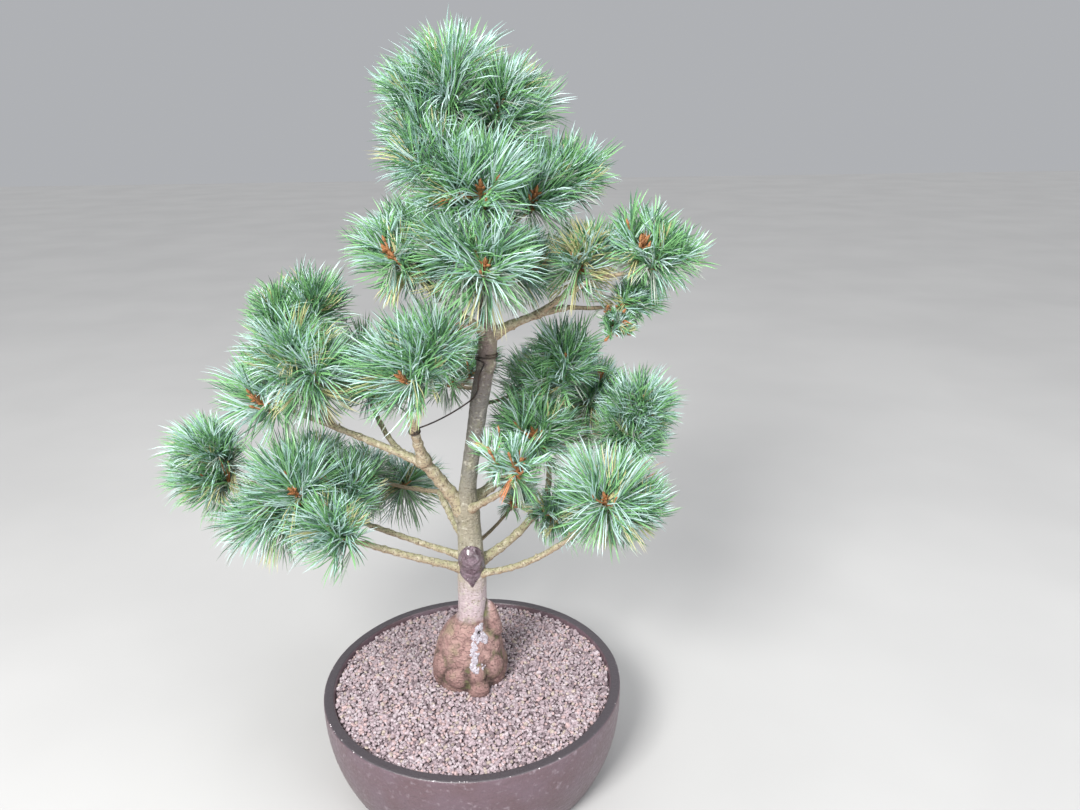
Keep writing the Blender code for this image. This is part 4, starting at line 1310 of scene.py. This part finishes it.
plans = {name: plan_mass(size) for name, size in MASSES.items()}
twigs = Gathering()
young = Gathering()
buds = Gathering()
Crown = namedtuple("Crown", "mass shoot hub tip line leader path")
crowns = []
chance = np.random.default_rng(23)
for name, shoots in plans.items():
    for index, shoot in enumerate(shoots):
        fine, thick = eased_path(shoot.points, shoot.radii, TWIG_SKIN_STEP)
        twigs.add(*limb_skin(fine, thick, TWIG_SIDES, *TWIG_GRAIN))
        hub = shoot.points[-1]
        line = unit(shoot.points[-1] - shoot.points[-2])
        shoot_length = step_lengths(fine).sum()
        ends = np.linspace(min(YOUNG_LENGTH, YOUNG_SHARE * shoot_length), 0.0, len(YOUNG_RADII))
        fresh = np.array([run_back(fine, back) for back in ends])
        fresh, fresh_thick = eased_path(fresh, np.array(YOUNG_RADII), YOUNG_SKIN_STEP)
        young.add(*limb_skin(fresh, fresh_thick, TWIG_SIDES, *YOUNG_GRAIN))
        for part in bud_cluster(hub, line, chance):
            buds.add(*part)
        crowns.append(Crown(name, index, hub, hub, line, True, fine))
        count = FULL_SHOOTS if name in FULL_MASSES else FINE_SHOOTS
        for path in fine_shoots(fine, count, chance):
            ahead = unit(path[-1] - path[-2])
            young.add(*limb_skin(path, np.array(FINE_RADII), FINE_SIDES, *FINE_GRAIN))
            buds.add(*bud(path[-1], ahead, 1.0))
            crowns.append(Crown(name, index, hub, path[-1], ahead, False, path))

twig_bark, _, _ = mottled(
    "bark_twig", 0.8, TWIG_TONES, 5.0, flecks=(1.5, 0.52, 0.66, TWIG_FLECK), relief=(1.0, 0.3),
)
young_bark, _, _ = mottled("bark_young", 0.65, YOUNG_TONES, 2.0, relief=(0.8, 0.25))
bud_scales, _, _ = mottled("bud_scales", 0.5, BUD_TONES, 1.2, relief=(0.7, 0.3))
twigs.piece("twigs", twig_bark, "bark", list(MASSES))
young.piece("young_shoots", young_bark, "bark", list(MASSES))
buds.piece("buds", bud_scales, "bark", list(MASSES))

# The needles
# White pine needles come five to a bundle, about 50 mm long and under 1 mm wide, three-sided
# and slightly curved. One side is green and the others are white with wax. Each bundle is
# rooted in a shoot, and the bundles stand in a dome about the shoot's end.
LEADER_BUNDLES = 46
FINE_BUNDLES = 17
NEEDLES_IN_BUNDLE = 5
BUNDLE_SPLAY = 7.0
LEADER_INNER_ANGLE = 21.0
FINE_INNER_ANGLE = 8.0
FINE_OPEN = 64.0
ROOTED_FROM = 3.0
ROOTED_LENGTH = 18.0
ANGLE_SPREAD = 9.0
LENGTH_SPREAD = (0.80, 1.0)
TRIM_SPREAD = (0.86, 1.0)
NEEDLE_PROFILE = ((0.0, 0.36), (0.42, 0.56), (0.82, 0.49))
SHEATH_PROFILE = ((0.0, 1.1), (0.75, 0.8))
SHEATH_LENGTH = 7.0
UPWARD_BEND = (0.10, 0.45)
DOWNWARD_BEND = (0.20, 0.75)
DOWNWARD_SHARE = 0.60
NEEDLE_CURL = 0.12
BUNDLE_CURL = 0.24
CROWN_DROOP = (0.05, 0.70)
ARCHED = 0.6
UNDERSIDE = -0.30
UNDERSIDE_DROPPED = 0.15
REACH_OVER = (0.80, 1.10)
SHORTEST = 0.50
LIMB_MARGIN = 0.6
PROBE_STEP = 4.0
PROBE_REACH = 80.0
PROBE_PARTS = (0.25, 0.4, 0.55, 0.7, 0.85, 1.0)
PROBE_BACK = 0.15
NEIGHBOUR_NEEDLES = 2.6
FACING_NEIGHBOUR = 0.05
ROOT_OUT = 0.5
ROOTED_SHARE = 0.7
SKIRT_PART = 2.0
NEEDLE_ROUGHNESS_RAMP = (-2.0, 3.2)
FROST_SHARE = 0.55
FRESH_SPREAD = (0.7, 1.3)
OLD_FROM = 0.72
OLD_SHARE = 0.35
SKIRT_OLD_SHARE = 0.7
SKIRT_AGED = 0.12
RUST_SHARE = 0.004
SHADE_GREEN_SHARE = 0.30
SECOND_TONE_FROM = 3
PIECE_NEEDLES = 12000
NEEDLE_TONES = {
    "frost": (0.480, 0.630, 0.610),
    "mint": (0.330, 0.510, 0.465),
    "green": (0.185, 0.400, 0.165),
    # Painted shade: the darkest green stands in for the shadow deep inside the crown.
    "shade_green": (0.065, 0.160, 0.085),
    "grey": (0.290, 0.335, 0.285),
    "yellow": (0.470, 0.450, 0.230),
    "rust": (0.420, 0.150, 0.055),
}
Tuft = namedtuple(
    "Tuft", "full lean room fresh aged bundles skirts shown",
    defaults=((1.0, 1.0), (0.0, 0.0, 0.10), 12, 0.30, 0.02, 1.0, 1, None),
)
# A tuft names only what sets it apart: how full each of its shoots is, which way it leans, its
# room past the half-way plane to its neighbours, its shares of fresh and aged needles and of
# the common number of bundles, its skirts of old needles, and the shoot whose buds show.
TUFTS = {
    "foliage_apex_left": Tuft(full=(0.72, 0.96)),
    "foliage_apex_right": Tuft(full=(1.04, 0.84)),
    "foliage_crown_left": Tuft(full=(0.85, 1.0), aged=0.08),
    "foliage_crown_front": Tuft(shown=0),
    "foliage_crown_right": Tuft(full=(0.86, 1.0), lean=(0.15, 0, 0.28), fresh=0.40, shown=1),
    "foliage_high_left_tip": Tuft((0.96,), (-0.10, 0, -0.20), 18, skirts=3, shown=0),
    "foliage_high_left": Tuft(full=(0.88,), fresh=0.50, skirts=3),
    "foliage_high_front": Tuft(skirts=3, shown=0),
    "foliage_high_right": Tuft(full=(0.90,), lean=(0, 0, -0.20), aged=0.30, skirts=3),
    "foliage_high_right_tip": Tuft(full=(0.80, 0.78), fresh=0.50, shown=1),
    "foliage_high_right_low": Tuft(full=(0.60, 0.40)),
    "foliage_high_rear": Tuft(skirts=3),
    "foliage_left_front": Tuft((1.0, 1.35), (-0.50, 0, 0.42), 18, skirts=3, shown=1),
    "foliage_left_rear": Tuft((1.30,), (0.20, 0, 0.50), 20, skirts=3),
    "foliage_left_top": Tuft((0.88, 1.0), (0.36, 0, 0.05), 18, fresh=0.55, aged=0.06),
    "foliage_left_outer": Tuft(aged=0.08, skirts=3),
    "foliage_left_tip": Tuft(full=(0.96,), shown=0),
    "foliage_low_far_tip": Tuft((1.00, 0.98), (-0.22, 0, -0.20), 24),
    "foliage_low_far_front": Tuft((1.20,), (-0.10, 0, -0.25), skirts=3),
    "foliage_low_far_top": Tuft((1.18,), (-0.40, 0, 0.20), 24, shown=0),
    "foliage_low_left": Tuft((1.05,), (-0.25, 0, -0.05), aged=0.06),
    "foliage_rear_low_left": Tuft((1.12, 1.22), (0, 0, -0.42), skirts=3),
    "foliage_right_inner": Tuft((1.20,), (0.15, 0, 0.40), 26, fresh=0.55, skirts=3, shown=0),
    "foliage_right_top": Tuft((0.94, 0.80), (-0.10, 0, 0.20), fresh=0.50),
    "foliage_right_rear": Tuft((0.85, 1.0), (-0.05, 0, -0.15), skirts=3),
    "foliage_right_outer": Tuft(full=(0.95, 0.98), room=16, skirts=3),
    "foliage_low_right": Tuft(full=(0.72, 1.10), aged=0.06, skirts=3, shown=1),
    "foliage_low_right_inner": Tuft(full=(1.30,), bundles=0.90, skirts=3),
    "foliage_front": Tuft(full=(0.70, 0.50), fresh=0.20, bundles=0.30),
    "foliage_rear_left": Tuft(full=(0.80, 0.64)),
    "foliage_rear_right": Tuft(full=(0.84,)),
    "foliage_rear_low_right": Tuft(full=(0.52,)),
}
for name in MASSES:
    TUFTS.setdefault(name, Tuft())
LONGEST = 1.15
SKIRT_BUNDLES = 9
SKIRT_TILT = (98.0, 138.0)
SKIRT_BACK = (8.0, 30.0)
SKIRT_NEEDLE = 0.95
SKIRT_REACH = 1.22
SEEN_FROM = (70.0, -750.0, 630.0)
PARTING_NEAR = 6.5
PARTING_WIDENS = 0.06
PARTING_FROM = 2.0
PARTING_REACH = 62.0
PARTING_TUFTS_WITHIN = 150.0
PARTING_PARTS = np.linspace(0.1, 1.0, 10)


def probes_along(points, radii):
    """Closely spaced points of a limb with its radius at each, to test needles against."""
    rows = []
    for index in range(len(points) - 1):
        run = points[index + 1] - points[index]
        count = max(1, int(np.linalg.norm(run) / PROBE_STEP) + 1)
        for step in range(count):
            part = step / count
            radius = radii[index] * (1.0 - part) + radii[index + 1] * part
            rows.append((*(points[index] + run * part), radius))
    return rows


limb_probes = []
for height in np.arange(STATION_HEIGHTS[0], STATION_HEIGHTS[-1], PROBE_STEP):
    limb_probes.append((*trunk_axis(height), trunk_radius(height)))
for limb in limbs.values():
    limb_probes += probes_along(limb.points, limb.radii)
limb_probes = np.array(limb_probes)
hubs = {name: [shoot.points[-1] for shoot in shoots] for name, shoots in plans.items()}


def rows_unit(rows):
    return rows / np.linalg.norm(rows, axis=1, keepdims=True)


def each_needle(rows):
    """A row for each bundle as a row for each of its needles."""
    return np.repeat(rows, NEEDLES_IN_BUNDLE, axis=0)


def fullness(crown):
    """How far the needles about one shoot reach, against the common length."""
    return TUFTS[crown.mass].full[crown.shoot]


def clear_lengths(roots, along, lengths, reach, crown, size):
    """How long needles may be before they leave their mass's space or near a limb."""
    away = roots - crown.hub
    closing = np.einsum("ij,ij->i", along, away)
    inside = closing ** 2 - np.einsum("ij,ij->i", away, away) + reach ** 2
    allowed = np.minimum(lengths, np.sqrt(np.maximum(inside, 0.0)) - closing)
    for name, others in hubs.items():
        if name == crown.mass:
            continue
        for other in others:
            apart = np.linalg.norm(other - crown.hub)
            if apart > NEIGHBOUR_NEEDLES * size.needle:
                continue
            across = (other - crown.hub) / apart
            room = apart / 2.0 + TUFTS[crown.mass].room - away @ across
            toward = along @ across
            limit = room / np.maximum(toward, FACING_NEIGHBOUR)
            limit = np.where(toward > FACING_NEIGHBOUR, limit, np.inf)
            allowed = np.minimum(allowed, np.maximum(limit, 0.0))
    near = limb_probes[np.linalg.norm(limb_probes[:, :3] - crown.tip, axis=1) < PROBE_REACH]
    for part in PROBE_PARTS:
        if len(near) == 0:
            break
        spots = roots + along * (lengths * part)[:, None]
        gaps = np.linalg.norm(spots[:, None, :] - near[None, :, :3], axis=2) - near[:, 3]
        hit = gaps.min(axis=1) < LIMB_MARGIN
        allowed = np.where(hit, np.minimum(allowed, lengths * (part - PROBE_BACK)), allowed)
    return allowed


def bundle_rows(crown, size, count, skirt, chance):
    """Roots and directions of the bundles on one shoot, spaced by the golden angle.

    A leading shoot has a skirt of last year's needles too, further back and hanging down.
    """
    axis = turned_up(crown.line)
    side, over = cross_frame(axis)
    part = (np.arange(count) + 0.5) / count
    inner = math.cos(math.radians(LEADER_INNER_ANGLE if crown.leader else FINE_INNER_ANGLE))
    outer = math.cos(math.radians(size.open if crown.leader else FINE_OPEN))
    tilt = np.arccos(inner + (outer - inner) * part)
    tilt = np.concatenate([tilt, np.radians(chance.uniform(*SKIRT_TILT, skirt))])
    rooted = min(ROOTED_LENGTH, ROOTED_SHARE * np.linalg.norm(crown.path[-1] - crown.path[0]))
    back = np.concatenate([ROOTED_FROM + part * rooted, chance.uniform(*SKIRT_BACK, skirt)])
    part = np.concatenate([part, np.full(skirt, SKIRT_PART)])
    count += skirt
    tilt += np.radians(chance.uniform(-ANGLE_SPREAD, ANGLE_SPREAD, count))
    around = chance.uniform(0.0, math.tau) + GOLDEN_ANGLE * np.arange(count)
    around += np.radians(chance.uniform(-ANGLE_SPREAD, ANGLE_SPREAD, count))
    sideways = np.cos(around)[:, None] * side + np.sin(around)[:, None] * over
    along = np.cos(tilt)[:, None] * axis + np.sin(tilt)[:, None] * sideways
    roots = run_back(crown.path, back).T
    return roots + sideways * ROOT_OUT, along, part


def needle_rows(crown, size, count, skirt, freshness, chance):
    """Every needle of one shoot: root, direction, length, bend and tone."""
    roots, along, part = bundle_rows(crown, size, count, skirt, chance)
    bundles = len(roots)
    guide = np.where(abs(along[:, 2:3]) < NEARLY_UPRIGHT, (0.0, 0.0, 1.0), (1.0, 0.0, 0.0))
    side = rows_unit(np.cross(along, guide))
    over = np.cross(side, along)
    start = chance.uniform(0.0, math.tau, bundles)
    roots = each_needle(roots)
    turn = start[:, None] + math.tau * np.arange(NEEDLES_IN_BUNDLE)[None, :] / NEEDLES_IN_BUNDLE
    splay = np.radians(BUNDLE_SPLAY) * chance.uniform(0.5, 1.5, (bundles, NEEDLES_IN_BUNDLE))
    out = np.cos(turn)[:, :, None] * side[:, None, :] + np.sin(turn)[:, :, None] * over[:, None, :]
    spread = np.cos(splay)[:, :, None] * along[:, None, :] + np.sin(splay)[:, :, None] * out
    spread = spread.reshape(-1, 3)
    needle = size.needle * min(LONGEST, fullness(crown))
    hanging = each_needle(part > 1.0)
    lengths = needle * chance.uniform(*LENGTH_SPREAD, len(spread))
    lengths = np.where(hanging, lengths * SKIRT_NEEDLE, lengths)
    reach = size.needle * np.where(hanging, SKIRT_REACH, fullness(crown))
    reach = reach * (1.0 + spread @ np.array(TUFTS[crown.mass].lean))
    reach = reach * each_needle(chance.uniform(*REACH_OVER, bundles))
    allowed = clear_lengths(roots, spread, lengths, reach, crown, size)
    dropped = chance.random(bundles) < UNDERSIDE_DROPPED
    dropped &= (along[:, 2] < UNDERSIDE) & (part < 1.0)
    keep = (allowed > SHORTEST * needle) & ~each_needle(dropped)
    trimmed = allowed * chance.uniform(*TRIM_SPREAD, len(allowed))
    lengths = np.where(allowed < lengths, trimmed, lengths)
    upright = np.array([0.0, 0.0, 1.0]) - spread * spread[:, 2:3]
    rise = chance.uniform(*UPWARD_BEND, bundles)
    fall = -chance.uniform(*DOWNWARD_BEND, bundles)
    turned = np.where(chance.random(bundles) < DOWNWARD_SHARE, fall, rise)
    shared = rows_unit(chance.normal(size=along.shape))
    shared *= chance.uniform(0.0, BUNDLE_CURL, (bundles, 1))
    stray = rows_unit(chance.normal(size=spread.shape))
    stray *= chance.uniform(0.0, NEEDLE_CURL, (len(spread), 1))
    stray += each_needle(shared)
    bends = (upright * each_needle(turned)[:, None] + stray) * lengths[:, None]
    away = spread * (1.0, 1.0, 0.0) * np.maximum(spread[:, 2:3], 0.0)
    droop = each_needle(chance.uniform(*CROWN_DROOP, bundles))
    bends += away * (droop * lengths)[:, None]
    runs = spread * lengths[:, None] - ARCHED * bends
    keep &= ~before_buds(roots, runs, bends)
    tones = deal_tones(part, crown.mass, freshness, chance)
    return roots[keep], runs[keep], bends[keep], tones[keep]


def before_buds(roots, runs, bends):
    """Whether a needle stands in front of buds that show, where the tuft parts at its front."""
    hidden = np.zeros(len(roots), dtype=bool)
    for name, tuft in TUFTS.items():
        if tuft.shown is None:
            continue
        hub = plans[name][tuft.shown].points[-1]
        if np.linalg.norm(roots[0] - hub) > PARTING_TUFTS_WITHIN:
            continue
        outlook = unit(np.array(SEEN_FROM) - hub)
        for part in PARTING_PARTS:
            spots = roots + runs * part + bends * part ** 2 - hub
            ahead = spots @ outlook
            aside = np.linalg.norm(spots - ahead[:, None] * outlook, axis=1)
            near = (ahead > PARTING_FROM) & (ahead < PARTING_REACH)
            hidden |= near & (aside < PARTING_NEAR + PARTING_WIDENS * ahead)
    return hidden


def deal_tones(part, mass, freshness, chance):
    """A tone for each needle: waxy ones with greener ones in a bundle, dull ones low down."""
    frost, mint, green, shade_green, grey, yellow, rust = range(len(NEEDLE_TONES))
    bundles = len(part)
    skirt = part > 1.0
    waxy = chance.random(bundles)
    old = (part > OLD_FROM) & (chance.random(bundles) < OLD_SHARE)
    old = old | (skirt & (chance.random(bundles) < SKIRT_OLD_SHARE))
    aged = TUFTS[mass].aged + np.where(skirt, SKIRT_AGED, 0.0)
    main = np.where(waxy < FROST_SHARE, frost, mint)
    main = np.where(chance.random(bundles) < freshness, green, main)
    main = np.where(old, grey, main)
    main = np.where(chance.random(bundles) < aged, yellow, main)
    main = np.where(chance.random(bundles) < RUST_SHARE, rust, main)
    # Painted shade: the darkest green goes to the greener needles of a bundle and to a share of the
    # others.
    second = np.where(main == green, shade_green, green)
    second = np.where(chance.random(bundles) < SHADE_GREEN_SHARE, shade_green, second)
    second = np.where(main >= yellow, main, second)
    tones = np.repeat(main[:, None], NEEDLES_IN_BUNDLE, axis=1)
    tones[:, SECOND_TONE_FROM:] = second[:, None]
    return tones.ravel()


def needle_meshes(roots, runs, bends, profile, chance):
    """Three-sided needles that taper from their middle to a point, as one set of triangles."""
    count = len(roots)
    guide = rows_unit(chance.normal(size=(count, 3)))
    side = rows_unit(np.cross(runs, guide))
    over = rows_unit(np.cross(side, runs))
    tip = 3 * len(profile)
    points = np.zeros((count, tip + 1, 3))
    for ring, (part, radius) in enumerate(profile):
        centre = roots + runs * part + bends * part ** 2
        for corner in range(3):
            angle = -math.tau * corner / 3.0
            points[:, 3 * ring + corner] = centre + outward(angle, side, over) * radius
    points[:, tip] = roots + runs + bends
    pattern = [(2, 1, 0)]
    for corner in range(3):
        following = (corner + 1) % 3
        for low in range(0, tip - 3, 3):
            high = low + 3
            pattern.append((low + corner, low + following, high + following))
            pattern.append((low + corner, high + following, high + corner))
        pattern.append((tip - 3 + corner, tip - 3 + following, tip))
    faces = np.array(pattern)[None, :, :] + (tip + 1) * np.arange(count)[:, None, None]
    return points.reshape(-1, 3), faces.reshape(-1, 3).tolist()


chance = np.random.default_rng(37)
gathered = []
for crown in crowns:
    size = MASSES[crown.mass]
    count = LEADER_BUNDLES if crown.leader else FINE_BUNDLES
    count = round(count * TUFTS[crown.mass].bundles)
    if crown.leader:
        freshness = TUFTS[crown.mass].fresh * chance.uniform(*FRESH_SPREAD)
    skirt = SKIRT_BUNDLES * TUFTS[crown.mass].skirts if crown.leader else 0
    gathered.append(needle_rows(crown, size, count, skirt, freshness, chance))
roots, runs, bends, tones = (np.concatenate(column) for column in zip(*gathered))
for index, (tone, colour) in enumerate(NEEDLE_TONES.items()):
    finish, tree, shader = new_finish("needle_" + tone, 0.5)
    shader.inputs["Base Color"].default_value = (*colour, 1.0)
    uneven_gloss(tree, shader, 12.0, *NEEDLE_ROUGHNESS_RAMP)
    chosen = np.nonzero(tones == index)[0]
    for part, first in enumerate(range(0, len(chosen), PIECE_NEEDLES)):
        rows = chosen[first:first + PIECE_NEEDLES]
        mesh = needle_meshes(roots[rows], runs[rows], bends[rows], NEEDLE_PROFILE, chance)
        new_piece(f"needles_{tone}_{part + 1}", *mesh, finish, "needles", list(MASSES), False)
sheathed = [
    bundle_rows(crown, MASSES[crown.mass], LEADER_BUNDLES, 0, chance)
    for crown in crowns if crown.leader
]
roots, along, _ = (np.concatenate(column) for column in zip(*sheathed))
points, faces = needle_meshes(roots, along * SHEATH_LENGTH, 0.0 * along, SHEATH_PROFILE, chance)
new_piece("needle_sheaths", points, faces, bud_scales, "bark", list(MASSES), False)

# Floor, light and camera
# The plant stands on a plain pale floor in soft studio light: one large lamp from the left, a
# weaker one from the right, and a broad glow from above. It is seen from above and in front.
FLOOR_HALF = 9.0
FLOOR_UNDER = 0.0003
FLOOR_TONES = ((0.395, 0.393, 0.390), (0.370, 0.368, 0.366))
STUDIO_TINT = (0.86, 0.88, 0.92, 1.0)
STUDIO_STRENGTH = 0.50
LIT_PLACE = (0.0, 0.0, 0.35)
CAMERA_NEAREST = 0.01
CAMERA_PLACE = (0.07230, -0.74903, 0.63124)
CAMERA_PITCH = 18.448
CAMERA_ROLL = -0.855
CAMERA_LENS = 28.667
SENSOR_WIDTH = 36.0
CEILING_POWER = 2.0
CEILING_SPREAD = 80.0

floor_finish, _, _ = mottled("floor", 0.9, FLOOR_TONES, 400.0)
floor_mesh = bpy.data.meshes.new("floor")
corners = [(-1, -1), (1, -1), (1, 1), (-1, 1)]
corners = [(x * FLOOR_HALF, y * FLOOR_HALF, -FLOOR_UNDER) for x, y in corners]
floor_mesh.from_pydata(corners, [], [(0, 1, 2, 3)])
floor_mesh.materials.append(floor_finish)
into_scene("floor", floor_mesh)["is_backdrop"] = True

world = bpy.data.worlds.new("studio")
world.use_nodes = True
background = world.node_tree.nodes["Background"]
background.inputs["Color"].default_value = STUDIO_TINT
background.inputs["Strength"].default_value = STUDIO_STRENGTH
bpy.context.scene.world = world
bpy.context.scene.view_settings.view_transform = "Standard"


def add_light(name, place, size, power, tint):
    """A square soft light that points at the plant. Places and sizes are in metres."""
    lamp = bpy.data.lights.new(name, "AREA")
    lamp.size = size
    lamp.energy = power
    lamp.color = tint
    light = into_scene(name, lamp)
    light.location = place
    light.rotation_mode = "QUATERNION"
    light.rotation_quaternion = (Vector(LIT_PLACE) - Vector(place)).to_track_quat("-Z", "Y")


add_light("key", (-0.8, -1.7, 1.7), 0.8, 106.0, (1.0, 0.99, 0.97))
add_light("fill", (1.6, -1.2, 0.9), 1.2, 26.0, (0.96, 0.98, 1.0))
ceiling_lamp = bpy.data.lights.new("ceiling", "SUN")
ceiling_lamp.energy = CEILING_POWER
ceiling_lamp.angle = math.radians(CEILING_SPREAD)
into_scene("ceiling", ceiling_lamp)

camera_data = bpy.data.cameras.new("camera")
camera_data.lens = CAMERA_LENS
camera_data.sensor_width = SENSOR_WIDTH
camera_data.clip_start = CAMERA_NEAREST
camera = into_scene("camera", camera_data)
tilt = Matrix.Rotation(math.radians(90.0 - CAMERA_PITCH), 4, "X")
roll = Matrix.Rotation(math.radians(CAMERA_ROLL), 4, "Z")
camera.matrix_world = Matrix.Translation(CAMERA_PLACE) @ tilt @ roll
bpy.context.scene.camera = camera

boxes = {"cad": cad_box, "visual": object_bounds()}
boxes = {name: [list(corner) for corner in box] for name, box in boxes.items()}
